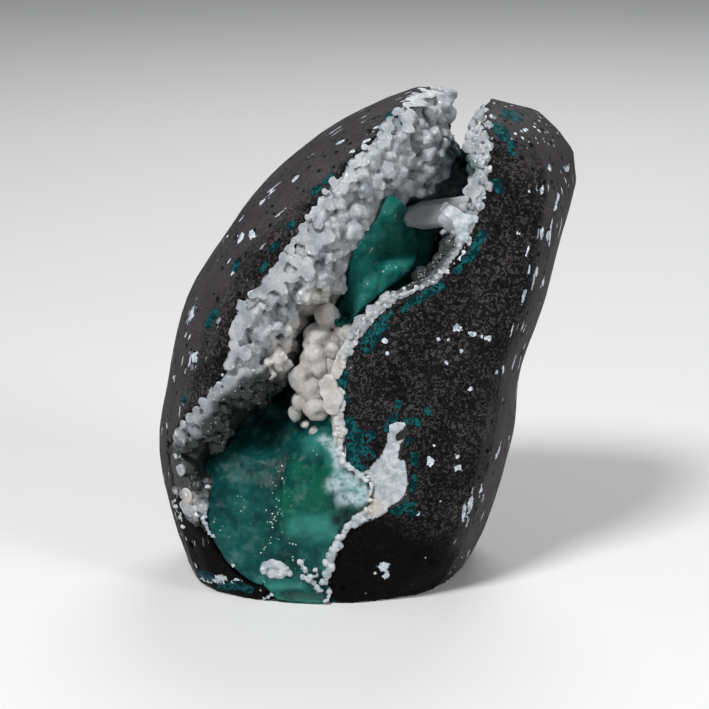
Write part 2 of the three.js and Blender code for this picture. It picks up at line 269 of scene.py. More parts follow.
def near_strokes(seen, strokes):
    """For each picture place, 1 on the line of the nearest stroke, and 0 past the stroke's half width.

    A stroke is [half width, across, down, across, down, ...], and one with a single place is a round spot.
    """
    best = np.zeros(len(seen))
    for half_width, *line in strokes:
        corners = np.array(line, float).reshape(-1, 2)
        for start, end in zip(corners, corners[1:] if len(corners) > 1 else corners):
            along = end - start
            share = np.clip((seen - start) @ along / max(along @ along, 1e-9), 0, 1)
            distance = np.hypot(*(seen - start - share[:, None] * along).T)
            best = np.maximum(best, 1 - distance / half_width)
    return best


def inside_edge(seen, edge):
    """Whether each picture place is inside a closed outline."""
    inside = np.zeros(len(seen), bool)
    for (x0, y0), (x1, y1) in zip(edge, edge[1:] + edge[:1]):
        crosses = (y0 > seen[:, 1]) != (y1 > seen[:, 1])
        inside ^= crosses & (seen[:, 0] < x0 + (x1 - x0) * (seen[:, 1] - y0) / ((y1 - y0) or 1))
    return inside


def stroke_marks(piece, name, strokes):
    """Marks a piece where strokes cross it in the picture."""
    mark_points(piece, name, near_strokes(picture_places(points_of(piece)), strokes))


# %% [markdown]
# The marks were read off the picture one by one, because they are what makes this stone this one. They stay on the
# side that faces the camera, so that they don't smear over the flanks.

# %% Where the marks are
# The stains run in strokes, each [half width, across, down, across, down, ...].
STAINS = [
    [9, 333, 360, 338, 366, 339, 386], [6, 344, 372, 342, 390, 345, 402], [10, 350, 424, 352, 436, 350, 446],
    [9, 352, 452, 356, 464, 366, 474], [7, 359, 434, 366, 440, 371, 436], [7, 362, 448, 370, 456, 377, 462],
    [6, 372, 470, 379, 462], [5, 398, 402, 397, 424], [5, 391, 420, 387, 430], [5, 404, 422, 414, 420, 419, 424],
    [4, 409, 440, 404, 446], [5, 413, 452, 414, 466], [4, 414, 476, 412, 490], [10, 396, 508, 412, 508],
    [6, 404, 496, 402, 504], [5, 427, 410, 430, 414], [9, 505, 112, 518, 116], [8, 497, 126, 504, 136],
    [6, 510, 144, 513, 152], [6, 496, 182, 499, 190], [8, 466, 262, 476, 246, 482, 236], [7, 457, 270, 464, 263],
    [7, 418, 300, 430, 290, 440, 286], [6, 404, 310, 412, 303], [10, 366, 346, 374, 334, 381, 324],
    [6, 384, 318, 390, 312], [7, 388, 120, 396, 113], [6, 326, 182, 330, 176], [5, 314, 192, 319, 188],
    [6, 208, 324, 212, 316, 217, 310], [4, 276, 244, 272, 250], [4, 262, 270, 266, 264], [5, 290, 226, 294, 222],
    [6, 188, 578, 200, 574, 210, 578], [6, 220, 586, 240, 586, 250, 590], [7, 318, 606, 334, 602],
    [4, 184, 400, 188, 392], [4, 238, 262, 234, 270],
]
# Each filled bubble is [across, down, half length, half width, turn in degrees clockwise from level].
FILLED_BUBBLES = [
    [384, 567, 6, 5, 0], [386, 576, 4, 4, 0], [226, 240, 11, 4, 122], [190, 313, 11, 4, 106], [203, 270, 7, 3, 112],
    [241, 237, 6, 3, 122], [252, 235, 4, 4, 0], [195, 358, 6, 3, 98], [173, 378, 6, 2, 98], [569, 168, 5, 5, 20],
    [545, 285, 7, 5, 100], [431, 462, 5, 5, 0], [459, 468, 4, 4, 0], [457, 457, 3, 3, 0], [473, 334, 4, 3, 30],
    [447, 363, 3, 2, 60], [471, 389, 3, 3, 0], [457, 328, 6, 4, 20], [487, 338, 6, 3, 20], [434, 446, 2, 2, 0],
    [529, 191, 2, 1.5, 60], [518, 233, 2.5, 2.5, 0], [549, 167, 4, 1.5, 70], [557, 202, 10, 1.5, 102],
    [542, 232, 9, 1.5, 96], [548, 236, 6, 2, 100], [528, 250, 6, 1.2, 110], [524, 295, 9, 2, 102],
    [529, 270, 6, 1.2, 98], [537, 272, 6, 1.2, 98], [512, 330, 7, 1, 105], [503, 370, 6, 1, 100],
    [510, 440, 8, 2, 100], [497, 455, 6, 1.2, 108], [481, 490, 6, 1.2, 105], [470, 505, 14, 2, 102],
    [464, 512, 10, 2, 100], [483, 500, 6, 1.2, 100], [500, 500, 9, 1.5, 98], [484, 525, 6, 1.2, 98],
    [462, 558, 8, 1.6, 112], [457, 565, 6, 1.6, 118], [475, 540, 6, 1.2, 110], [542, 190, 5, 1.5, 98],
    [352, 152, 4, 1.5, 150], [368, 140, 6, 1.5, 155], [377, 127, 5, 1.2, 155], [340, 142, 5, 1.2, 150],
    [332, 133, 5, 1.2, 148], [310, 155, 6, 2, 135], [302, 152, 5, 1.5, 135], [296, 178, 5, 1.5, 135],
    [290, 168, 4, 1.5, 138], [262, 202, 5, 1.5, 128], [272, 190, 4, 1.2, 128], [343, 121, 5, 1, 150],
    [168, 400, 7, 2, 95], [166, 425, 5, 2, 92], [205, 580, 8, 3.5, 15], [219, 579, 9, 4.5, 8], [196, 574, 5, 4, 40],
    [236, 581, 6, 3, -10],
]
# The ground side at the right, past the edge where the front ends, and the rock below the cavity.
TURNED_SIDE = [[56, 592, 120, 596, 200, 580, 300, 562, 360, 545, 430, 540, 490, 530, 560]]
BROWN_ROCK = [[75, 350, 560, 380, 585, 430, 600], [45, 345, 530, 352, 560], [60, 200, 530, 225, 565, 250, 590]]
print("stains:", len(STAINS), "filled bubbles:", len(FILLED_BUBBLES))


# %% Putting the marks on the stone
def in_bubbles(piece):
    """For every point, 1 in the middle of a filled bubble, a half at its edge and 0 at twice its size."""
    seen = picture_places(points_of(piece))
    best = np.zeros(len(seen))
    for across, down, half_length, half_width, turn in FILLED_BUBBLES:
        cos, sin = math.cos(math.radians(turn)), math.sin(math.radians(turn))
        dx, dy = seen[:, 0] - across, seen[:, 1] - down
        reach = np.hypot((dx * cos + dy * sin) / half_length, (dy * cos - dx * sin) / half_width)
        best = np.maximum(best, 1 - reach / 2)
    return best


def facing(piece):
    """For every point, 1 where the piece faces the camera and 0 where it is seen edge on or from behind."""
    normals = np.empty(len(piece.data.vertices) * 3)
    piece.data.vertices.foreach_get("normal", normals)
    away = np.array(EYE) - points_of(piece)
    towards = (normals.reshape(-1, 3) * away).sum(axis=1) / np.linalg.norm(away, axis=1)
    return np.clip((towards - 0.12) / 0.2, 0, 1)


front = facing(stone)
stone_seen = picture_places(points_of(stone))
mark_points(stone, "side", near_strokes(stone_seen, TURNED_SIDE) * front)
mark_points(stone, "stain", near_strokes(stone_seen, STAINS) * front)
mark_points(stone, "filled", in_bubbles(stone) * front)
mark_points(stone, "brown", near_strokes(stone_seen, BROWN_ROCK) * front)
print("points that face the camera:", int((front > 0).sum()), "of", len(front))

# %% [markdown]
# A material is a graph of small nodes. Short helpers make them, and each sets or links a node's inputs by name. They
# add to the material that is being made, whose graph is always called tree.

# %% Helpers for materials
def new_material(name):
    material = bpy.data.materials.new(name)
    material.use_nodes = True
    return material, material.node_tree, material.node_tree.nodes["Principled BSDF"]


def set_inputs(node, inputs):
    """Links each input of a node that is given a socket, and sets any other to its value."""
    for key, value in inputs.items():
        if isinstance(value, bpy.types.NodeSocket):
            tree.links.new(value, node.inputs[key])
        else:
            node.inputs[key].default_value = value


def add_node(kind, inputs, **settings):
    made = tree.nodes.new("ShaderNode" + kind)
    for key, value in settings.items():
        setattr(made, key, value)
    set_inputs(made, inputs)
    return made.outputs


def maths(operation, *values):
    return add_node("Math", dict(enumerate(values)), operation=operation)[0]


def times(first, second):
    return maths("MULTIPLY", first, second)


def plus(first, second):
    return maths("ADD", first, second)


def minus(first, second):
    return maths("SUBTRACT", first, second)


def ramp(value, low, high, to_low=0.0, to_high=1.0):
    """A value stretched smoothly from one range onto another."""
    inputs = {"Value": value, "From Min": low, "From Max": high, "To Min": to_low, "To Max": to_high}
    return add_node("MapRange", inputs, interpolation_type="SMOOTHSTEP")[0]


def blend(factor, first, second):
    """The first colour where the factor is 0, and the second where it is 1."""
    return add_node("Mix", {0: factor, 6: first, 7: second}, data_type="RGBA")[2]


def noise_at(place, size, detail=2.0, roughness=0.5):
    """Soft random variation, with patches of about the given size in metres."""
    inputs = {"Vector": place, "Scale": 1 / size, "Detail": detail, "Roughness": roughness}
    return add_node("TexNoise", inputs)["Fac"]


def cells_at(place, size):
    """Space parted into random cells: the distance from each cell's middle, and a random colour for each cell."""
    return add_node("TexVoronoi", {"Vector": place, "Scale": 1 / size})


def chance_of(cells, channel):
    """A number between 0 and 1 that is the same all over a cell: one channel of its random colour."""
    return add_node("SeparateColor", {"Color": cells["Color"]})[channel]


def stretched(place, scale):
    return add_node("Mapping", {"Vector": place, "Scale": scale})[0]


def marked(name):
    """The value that was kept on the piece's points under a name."""
    return add_node("Attribute", {}, attribute_name=name)["Fac"]


def bump(height, distance, strength):
    """The normal of a relief that is too fine for the mesh."""
    return add_node("Bump", {"Height": height, "Distance": distance, "Strength": strength})["Normal"]


# %% [markdown]
# ## Basalt
# Basalt is nearly black, but a ground surface is greyer, because it is full of tiny pits that scatter light. On the
# open face the pits run together into a worm-like grain. It could be carved, but it is finer than the mesh, so it
# is bands that follow the contour lines of a noise. The flanks are smoother, and their lighter grey is partly that
# surface and partly painted light on the sides.

# %% Ground basalt and its grain
basalt, tree, surface = new_material("ground basalt")
place = add_node("TexCoord", {})["Object"]
along = add_node("SeparateXYZ", {"Vector": place})
normal = add_node("SeparateXYZ", {"Vector": add_node("NewGeometry", {})["Normal"]})
flank = maths("MAXIMUM", ramp(maths("ABSOLUTE", normal["Y"]), 0.45, 0.85, 1, 0), ramp(marked("side"), 0.0, 0.2))
fine = noise_at(place, 0.5 * MM, 3, 0.65)
broad = noise_at(place, 9 * MM, 3, 0.55)
bands = maths("SINE", times(noise_at(place, 2.3 * MM, 2.5, 0.6), 34.0))
worms = times(ramp(bands, -0.2, 0.7, 1, 0), minus(1.0, times(flank, 0.8)))
tone = plus(times(fine, 0.65), times(broad, 0.35))
stone_colour = blend(ramp(tone, 0.36, 0.68), (0.006, 0.0055, 0.0057, 1), (0.085, 0.077, 0.079, 1))
# The flanks and the turned side are blended to a lighter grey: partly their smoother ground surface, partly painted
# light on the sides.
stone_colour = blend(times(flank, 0.55), stone_colour, (0.075, 0.069, 0.073, 1))
stone_colour = blend(times(worms, 0.82), stone_colour, (0.0022, 0.002, 0.002, 1))
stone_colour = blend(ramp(marked("brown"), 0.05, 0.4, 0, 0.93), stone_colour, (0.0026, 0.002, 0.0017, 1))

# %% [markdown]
# Gas bubbles too small for the mesh show as round pits, painted dark as the shade inside them. Others were filled
# with white and bluish minerals. They show as flecks, round on the open face and drawn out on the flanks, where the
# bubbles were stretched by the flow, and they lean the other way at the upper left. Each is a random cell of space
# with a round middle, and a noise that bends space makes it ragged.

# %% Pits and flecks in the basalt
pits = cells_at(place, 1.9 * MM)
pit = ramp(minus(pits["Distance"], ramp(chance_of(pits, 1), 0.5, 1.0, 0.02, 0.3)), 0.0, 0.07, 1, 0)
# Painted shade: the small pits are blended nearly black.
stone_colour = blend(times(pit, 0.85), stone_colour, (0.004, 0.004, 0.004, 1))
wobble = add_node("TexNoise", {"Vector": place, "Scale": 1 / (1.5 * MM), "Detail": 3.0})["Color"]
wobble = add_node("VectorMath", {0: wobble, 3: 0.9 * MM}, operation="SCALE")[0]
bent = add_node("VectorMath", {0: place, 1: wobble})[0]


def flecks(stretch, spacing, share, size, lean=0.0):
    """1 inside a fleck and 0 outside. A share of the cells have one, and they lean by an angle."""
    leaning = add_node("VectorRotate", {"Vector": bent, "Angle": math.radians(lean)}, rotation_type="Y_AXIS")[0]
    cells = cells_at(stretched(leaning, stretch), spacing)
    radius = ramp(chance_of(cells, 2), 1 - share, 1.0, 0.0, size)
    return ramp(minus(cells["Distance"], radius), -0.04, 0.0, 1, 0)


upper_left = times(ramp(along["X"], 14 * MM, 16 * MM, 1, 0), ramp(along["Z"], 55 * MM, 57 * MM))
long_flecks = add_node("Mix", {0: upper_left, 2: flecks((1, 1, 0.15), 1.5 * MM, 0.75, 0.3, -8),
                               3: flecks((1, 1, 0.17), 1.5 * MM, 0.65, 0.28, -50)})[0]
round_flecks = flecks((1, 1, 0.85), 2.4 * MM, 0.12, 0.3)
fleck = plus(times(round_flecks, minus(1.0, flank)), times(long_flecks, flank))
back_flecks = times(flecks((1, 1, 0.6), 4.6 * MM, 0.25, 0.36), ramp(along["Y"], 0.0, 6 * MM))
ragged = minus(noise_at(place, 1.2 * MM, 4, 0.6), 0.5)
filled = marked("filled")
big_fleck = times(ramp(plus(filled, times(ragged, 1.3)), 0.54, 0.58), ramp(filled, 0.1, 0.2))
fleck = maths("MAXIMUM", maths("MAXIMUM", fleck, back_flecks), big_fleck)
fleck_tone = blend(ramp(noise_at(place, 1.4 * MM, 3), 0.3, 0.55), (0.24, 0.31, 0.36, 1), (0.66, 0.72, 0.78, 1))

# %% [markdown]
# The blue-green stains are thin films with lighter veins. A blotchy noise breaks each stroke up into ragged patches.
# Basalt reflects little light here, and the pits and the grain are also a fine relief.

# %% Stains and the basalt's surface
blotchy = minus(noise_at(place, 2.0 * MM, 4, 0.65), 0.5)
stain = marked("stain")
stained = ramp(times(stain, plus(times(blotchy, 11.0), 1.1)), 0.28, 0.34)
vein = times(ramp(maths("ABSOLUTE", blotchy), 0.015, 0.06, 1, 0), ramp(stain, 0.2, 0.6))
stain_tone = blend(vein, (0.002, 0.024, 0.028, 1), (0.009, 0.1, 0.11, 1))
height = minus(minus(times(fine, 0.45), pit), times(worms, 0.7))
set_inputs(surface, {
    "Base Color": blend(stained, blend(fleck, stone_colour, fleck_tone), stain_tone),
    "Roughness": minus(ramp(fine, 0.3, 0.7, 0.45, 0.75), times(fleck, 0.12)),
    "Specular IOR Level": 0.04, "Normal": bump(height, 0.3 * MM, 1.0)})
finish_piece(stone, basalt, "basalt", "basalt_matrix")

# %% [markdown]
# ## The white druse
# The crust is one layer that grew on the wall, thickest as round knobs that crowd together. The even layer comes
# from the CAD crust, remeshed and smoothed. The knobs are copies of a few lumpy balls. They are scattered over the
# inner side of the crust, no closer than their own size allows, and a voxel remesh grows them into one skin.

# %% Even layer of the crust
stone_solid = merged_copy("basalt_matrix", "stone_solid")
solid_tree = tree_of(stone_solid)


def layer_relief(place, normal):
    """Unevenness, and enough growth towards the stone to close the thin gap that the solids leave between them."""
    toward_stone = solid_tree.ray_cast(place, normal, 0.9 * MM)[0]
    return (0.4 if toward_stone else 0.08 * noise.noise(place / (1.6 * MM))) * MM


crust_base = merged_copy("druse_crust", "druse_layer")
modify(crust_base, "REMESH", mode="VOXEL", voxel_size=0.72 * MM)
modify(crust_base, "SMOOTH", factor=0.5, iterations=3)
push_points(crust_base, layer_relief)
print("even layer:", len(crust_base.data.polygons), "faces")


# %% Knob shapes
def lumpy_ball(name, seed, lumps, stretch):
    """A ball of 1 mm radius with shallow lumps, drawn out a little along Z, to be copied many times."""
    bpy.ops.object.select_all(action="DESELECT")
    bpy.ops.mesh.primitive_ico_sphere_add(subdivisions=2, radius=1 * MM, location=(0, 0, 0))
    ball = bpy.context.active_object
    ball.name = name
    for vertex in ball.data.vertices:
        vertex.co *= 1 + lumps * noise.noise(vertex.co / (0.7 * MM) + Vector((seed, 0, 0)))
        vertex.co.z *= stretch
    return ball


balls = [lumpy_ball(f"knob_shape_{n}", 7.3 * n, 0.2, stretch) for n, stretch in enumerate((0.85, 1.0, 1.15, 1.35))]


def turned_to(direction):
    return direction.to_track_quat("Z", "Y").to_matrix().to_4x4()


def put_knob(chance, place, direction, radius):
    """A copy of one of the balls at a place, its long axis leaning about a direction."""
    knob = chance.choice(balls).copy()
    knob.data = knob.data.copy()
    bpy.context.scene.collection.objects.link(knob)
    lean = (direction + Vector([chance.gauss(0, 0.25) for _ in range(3)])).normalized()
    spin = Matrix.Rotation(chance.uniform(0, 2 * math.pi), 4, "Z")
    knob.data.transform(Matrix.Translation(place) @ turned_to(lean) @ spin @ Matrix.Scale(radius / MM, 4))
    return knob


def put_cluster(chance, place, normal, radius, buds):
    """A knob with smaller buds over its outer half."""
    middle = place + normal * 0.3 * radius
    knobs = [put_knob(chance, middle, normal, radius)]
    for _ in range(buds):
        direction = (normal * 0.7 + Vector([chance.gauss(0, 0.6) for _ in range(3)])).normalized()
        knobs.append(put_knob(chance, middle + direction * 0.78 * radius, direction,
                              radius * chance.uniform(0.36, 0.56)))
    return knobs


# %% [markdown]
# A knob may grow only where the crust is free: at its inner side, away from the stone. The radius depends on where
# it stands. The knobs are small at the right rim, of middle size on the left wall and large and smooth on the
# pillar between the two halls. What the camera can't see gets larger knobs and a coarser skin.

# %% Where knobs may grow
# Outlines of the two crystal masses in the picture, which the knobs keep away from.
LOWER_EDGE = [
    [300, 386], [322, 402], [338, 424], [342, 438], [343, 450], [347, 462], [354, 471], [366, 476], [373, 488],
    [371, 505], [350, 518], [340, 534],
    [331, 552], [330, 572], [332, 596], [326, 610], [308, 615], [290, 612], [275, 602], [266, 590], [254, 586],
    [238, 575], [222, 560], [211, 541], [205, 518], [207, 496], [214, 470], [224, 446], [240, 420], [262, 398],
]
UPPER_EDGE = [
    [387, 190], [402, 196], [414, 208], [417, 222], [421, 245], [419, 264], [410, 277], [394, 286], [379, 298],
    [364, 312], [350, 328], [340, 332], [330, 326], [330, 312], [340, 296], [346, 268], [350, 250], [362, 232],
    [372, 220], [380, 202],
]
# More parts of the picture that no knob may cover, each [left, top, right, bottom].
KEPT_CLEAR = [[396, 192, 470, 230], [352, 238, 418, 300], [270, 385, 300, 442], [226, 402, 290, 442],
              [168, 446, 212, 482], [200, 512, 372, 620], [292, 300, 350, 446], [446, 80, 470, 150],
              [318, 440, 420, 514]]

# %% Scattering the knobs
DRUSE_SEED = 11
TRIES = 60000
WALL_CELL = 0.36 * MM
RIM_CELL = 0.34 * MM
FAR_CELL = 0.7 * MM

# The stone's outside before it broke open, as the hull of its solid.
ground_solid = merged_copy("basalt_matrix", "ground_solid")
with editing(ground_solid):
    bpy.ops.mesh.convex_hull()
    bpy.ops.mesh.select_all(action="SELECT")
    bpy.ops.mesh.normals_make_consistent(inside=False)
ground_tree = tree_of(ground_solid)
crust_faces = [(p.area, [crust_solid.data.vertices[i].co.copy() for i in p.vertices], p.normal.copy())
               for p in crust_solid.data.polygons]


def scattered(chance, count):
    """Random places on the crust: where each is, its normal, its picture place and whether a crystal hides it."""
    weights = [area for area, _, _ in crust_faces]
    places, normals = [], []
    for _, corners, normal in chance.choices(crust_faces, weights, k=count):
        a, b = sorted((chance.random(), chance.random()))
        places.append(corners[0] * a + corners[1] * (b - a) + corners[2] * (1 - b))
        normals.append(normal)
    seen = picture_places(np.array(places))
    crystal = inside_edge(seen, LOWER_EDGE) | inside_edge(seen, UPPER_EDGE)
    around_upper = near_strokes(seen, [[7, *sum(UPPER_EDGE + UPPER_EDGE[:1], [])]]) > 0
    return zip(places, normals, seen.tolist(), (crystal | around_upper).tolist())


# %% [markdown]
# The cavity slants, so a slanting line in the picture parts its left wall from its right rim. Each try is kept only
# if no knob stands too close already, which packs them like the real ones.

# %% Growing the knobs
def grow_knobs(chance, count):
    """Clusters on the crust's free side, each at its own distance from its neighbours, sorted by where they are."""
    knobs = {"druse_upper_left": [], "druse_lower_left": [], "druse_right_rim": [], "druse_far_walls": []}
    taken = {}
    cell = 4 * MM
    for place, normal, (across, down), crystal in scattered(chance, count):
        off_stone = solid_tree.find_nearest(place)[3] / MM
        left = across < 300 + (420 - down) * 0.52
        if off_stone < (0.8 if left else 1.15):
            continue
        if crystal or any(x0 < across < x1 and y0 < down < y1 for x0, y0, x1, y1 in KEPT_CLEAR):
            continue
        hit = seen_on(crust_tree, (across, down))
        visible = hit is not None and (hit - place).length < 3.5 * MM
        if not visible:
            radius, buds, group = chance.uniform(1.5, 2.4) * MM, 2, "druse_far_walls"
        elif left:
            radius, buds = chance.uniform(1.1, 2.3) * MM, 7
            group = "druse_upper_left" if down < 250 else "druse_lower_left"
        else:
            thin = off_stone < 2.3 and place.y < -8 * MM
            radius, buds, group = chance.uniform(*(0.5, 1.0) if thin else (1.0, 2.0)) * MM, 4, "druse_right_rim"
        if off_stone < 1.15:
            radius *= 0.6
        key = tuple(math.floor(v / cell) for v in place)
        near = [item for dx in (-1, 0, 1) for dy in (-1, 0, 1) for dz in (-1, 0, 1)
                for item in taken.get((key[0] + dx, key[1] + dy, key[2] + dz), ())]
        if any((place - other).length < 0.78 * (radius + size) for other, size in near):
            continue
        taken.setdefault(key, []).append((place, radius))
        knobs[group] += put_cluster(chance, place, normal, radius, buds)
    return knobs


# %% [markdown]
# The knobs at the rim were ground and sawn together with the stone. So what stands out of its outside too far is
# brought back. The knobs of each part then become one skin. The parts stay apart, to keep each within a good size.

# %% Growing them together
def grind_down(piece, proud):
    """Brings back every point that stands out of the stone's ground outside by more than a distance."""
    for vertex in piece.data.vertices:
        face_point, normal, _, distance = ground_tree.find_nearest(vertex.co)
        offset = vertex.co - face_point
        over = distance if offset.dot(normal) > 0 else -distance
        if over > proud:
            vertex.co = face_point + (offset / over if distance > 0.02 * MM else normal) * proud


def join_knobs(name, knobs, voxel, proud):
    """Grows knobs together into one closed skin that stands out of the stone's outside by so much at most."""
    choose(*reversed(knobs))
    bpy.ops.object.join()
    piece = bpy.context.active_object
    piece.name = name
    modify(piece, "REMESH", mode="VOXEL", voxel_size=voxel)
    modify(piece, "SMOOTH", factor=0.5, iterations=2)
    grind_down(piece, proud)
    return piece


chance = random.Random(DRUSE_SEED)
groups = grow_knobs(chance, TRIES)
print({name: len(knobs) for name, knobs in groups.items()})
grind_down(crust_base, -0.3 * MM)
druse_pieces = [
    crust_base,
    join_knobs("druse_upper_left", groups["druse_upper_left"], WALL_CELL, 0.6 * MM),
    join_knobs("druse_lower_left", groups["druse_lower_left"], WALL_CELL, 0.6 * MM),
    join_knobs("druse_right_rim", groups["druse_right_rim"], RIM_CELL, 0.1 * MM),
    join_knobs("druse_far_walls", groups["druse_far_walls"], FAR_CELL, 0.0),
]

# %% [markdown]
# Some knobs are too plain to see to be left to chance: the large smooth ones that make up the pillar between the
# halls, the long one hanging beside it, the round one at the cavity's left end, those on the right side of the cleft
# at the top and the white fin at the right rim. Rows of small knobs follow the broken rim, where the crust shows as
# a thin white edge. The fin is a knot of small knobs with three sharp plates in it.

# %% Where the large knobs are
# Each knob is [across, down, radius, length by width, turn of its long axis in degrees clockwise from level].
PILLAR_KNOBS = [
    [327, 316, 12, 1.1, 90], [344, 334, 10, 1.1, 90], [319, 338, 12, 1.1, 0], [316, 354, 12, 1.2, 90],
    [320, 366, 9, 1.3, 90], [299, 379, 10, 1.4, 90], [312, 389, 12, 1.1, 0], [301, 400, 9, 1.3, 120],
    [295, 413, 7, 1.3, 90], [317, 410, 11, 1.2, 0], [331, 406, 8, 1.2, 45], [323, 429, 8, 1.8, -22],
    [337, 398, 7, 1.2, 90], [306, 424, 5, 1.2, 0], [328, 385, 9, 1.2, 90], [333, 350, 8, 1.1, 45],
    [307, 367, 8, 1.3, 90], [340, 415, 5, 1.2, 90], [309, 345, 7, 1.2, 90], [330, 392, 8, 1.2, 0],
]
SIDE_KNOBS = [
    [278, 349, 7, 1.2, 90], [275, 360, 8, 1.3, 100], [271, 370, 8, 1.2, 100], [292, 329, 8, 1.2, 0],
    [284, 335, 6, 1.2, 0], [300, 322, 7, 1.2, 0], [190, 494, 8, 1.1, 90], [187, 506, 7, 1.2, 90],
    [192, 512, 5, 1.2, 0], [206, 489, 3.5, 1.8, 120], [201, 500, 3.5, 1.6, 130], [196, 508, 4, 1.5, 120],
    [181, 470, 5, 1.3, 90], [178, 455, 4, 1.2, 90], [204, 512, 3, 1.4, 60],
]
CLEFT_KNOBS = [
    [480, 118, 5, 1.1, 90], [487, 113, 4, 1.2, 30], [478, 128, 5.5, 1.1, 90], [484, 138, 5.5, 1.2, 90],
    [489, 146, 4.5, 1.3, 60], [482, 150, 5, 1.1, 90], [477, 141, 4, 1.3, 90], [488, 126, 4.5, 1.2, 90],
    [493, 118, 3.5, 1.3, 20], [487, 158, 4, 1.2, 90], [481, 163, 4.5, 1.2, 90], [488, 170, 4, 1.2, 100],
    [483, 178, 4.5, 1.3, 90], [489, 186, 4, 1.2, 90], [484, 196, 5, 1.2, 90], [479, 206, 5, 1.2, 80],
]
# Each of these is [across, down, radius].
FIN_KNOBS = [
    [459, 222, 5], [467, 221, 4.5], [459, 230, 5], [465, 229, 4.5], [461, 238, 4.5], [466, 236, 4], [458, 245, 4],
    [473, 219, 3.5], [456, 224, 4], [463, 217, 3.5],
]
# Each row of small knobs is [smallest radius, largest radius, across, down, across, down, ...].
RIM_SEAMS = [
    [2.2, 4.5, 338, 384, 341, 410, 343, 440], [2.2, 4.2, 336, 388, 337, 436],
    [2.2, 4.5, 350, 345, 341, 366, 338, 384], [1.0, 2.2, 172, 498, 178, 512, 184, 526],
    [1.0, 3.6, 196, 516, 204, 500, 210, 484],
    [0.9, 2.4, 472, 236, 468, 246, 456, 260, 438, 276, 422, 287], [0.9, 2.2, 422, 287, 408, 292, 396, 296],
    [2.0, 4.4, 398, 295, 384, 304, 370, 317, 358, 330, 352, 342], [2.0, 3.8, 390, 294, 372, 309, 358, 322],
]
SEAM_CELL = 0.28 * MM


# %% [markdown]
# A knob of a list stands where its line of sight meets the crust or the stone, sunk in by a share of its radius. The
# knobs of a row get random sizes and turns, and stray a little from the line.

# %% Placing knobs by the picture
def drawn_knobs(spots, sunk, *carriers):
    """The knobs of a list, sunk by a share of their radius into the nearest of the surfaces that may carry them."""
    knobs = []
    for across, down, radius, length, turn in spots:
        sight = line_of_sight((across, down))
        hits = [hit for hit in (seen_on(tree, (across, down)) for tree in carriers) if hit]
        if not hits:
            print("nothing under", round(across), round(down))
            continue
        place = min(hits, key=lambda hit: (hit - EYE).length)
        angle = math.radians(turn)
        axis = (math.cos(angle) * view_right - math.sin(angle) * view_up).normalized()
        knob = balls[1].copy()
        knob.data = knob.data.copy()
        bpy.context.scene.collection.objects.link(knob)
        size = radius * PART / MM
        knob.data.transform(Matrix.Translation(place + sight * sunk * radius * PART) @ turned_to(axis)
                            @ Matrix.Diagonal((size, size, size * length, 1)))
        knobs.append(knob)
    return knobs


def seams(chance, rows):
    """The small knobs of some rows, for drawn_knobs."""
    spots = []
    for smallest, largest, *line in rows:
        corners = [Vector(line[i:i + 2]) for i in range(0, len(line), 2)]
        for start, end in zip(corners, corners[1:]):
            steps = max(1, round((end - start).length / ((smallest + largest) * 0.62)))
            for step in range(steps):
                place = start.lerp(end, (step + chance.random()) / steps)
                spots.append([place.x + chance.gauss(0, 1.4), place.y + chance.gauss(0, 1.4),
                              chance.uniform(smallest, largest), chance.uniform(0.9, 1.5), chance.uniform(0, 180)])
    return spots


def at_depth(across, down, depth):
    """The place on the line of sight through a place in the picture that lies at the given depth along Y."""
    sight = line_of_sight((across, down))
    return EYE + sight * ((depth - EYE.y) / sight.y)


def blunt_block(place, size, turn, edge, segments):
    """A block with blunt edges, of a size in mm, turned by degrees about x, y and z."""
    bpy.ops.object.select_all(action="DESELECT")
    bpy.ops.mesh.primitive_cube_add(size=1, location=place, rotation=[math.radians(t) for t in turn],
                                    scale=[s * MM for s in size])
    block = bpy.context.active_object
    bpy.ops.object.transform_apply(location=True, rotation=True, scale=True)
    modify(block, "BEVEL", width=edge, segments=segments, limit_method="NONE")
    return block


def roughen(piece, height, size):
    """Gives a piece an uneven surface, with lumps of about a size."""
    push_points(piece, lambda place, normal: height * noise.noise(place / size))


# %% Pillar, rim and fin
pillar = join_knobs("druse_pillar", drawn_knobs(PILLAR_KNOBS, 0.1, crust_tree)
                    + drawn_knobs(SIDE_KNOBS, 0.3, crust_tree), 0.4 * MM, 0.8 * MM)
roughen(pillar, 0.28 * MM, 1.7 * MM)
rim = join_knobs("druse_rim_seams", drawn_knobs(seams(chance, RIM_SEAMS) + CLEFT_KNOBS, 0.35, crust_tree, solid_tree),
                 SEAM_CELL, 0.8 * MM)
roughen(rim, 0.45 * MM, 0.9 * MM)

fin_depth = seen_on(crust_tree, (472, 224)).y - 0.5 * MM
fin_parts = []
for across, down, radius in FIN_KNOBS:
    fin_parts.append(put_knob(chance, at_depth(across, down, fin_depth + 0.4 * MM), view_up, radius * PART))
for across, down, size, turn in ((450.5, 211.5, (4.6, 1.0, 2.7), 33), (459, 223, (2.4, 1.0, 5.0), -20),
                                 (469, 218, (4.2, 1.0, 1.6), 14)):
    fin_parts.append(blunt_block(at_depth(across, down, fin_depth), size, (0, turn, 12), 0.25 * MM, 2))
fin = join_knobs("druse_fin", fin_parts, SEAM_CELL, 1.0 * MM)
druse_pieces += [rim, pillar, fin]

# %% [markdown]
# ## Apophyllite
# Each crystal is a square block with blunt edges, and many of them have grown into one milky mass with ledges and
# creases. The blocks are modelled one by one, each put by where its middle shows in the picture and by how deep it
# stands. In front of them lies a sheet of points that fills the mass's outline in the picture. Every point goes
# along its line of sight to where the front of the mass is, and creases are pressed in along strokes. Sheet and
# blocks are grown together by a voxel remesh, worn smooth, and given the fine upright growth lines.

# %% Crystal shapes
SHEET_STEP = 1.7
SHEET_THICKNESS = 5 * MM
MASS_CELL = 0.45 * MM


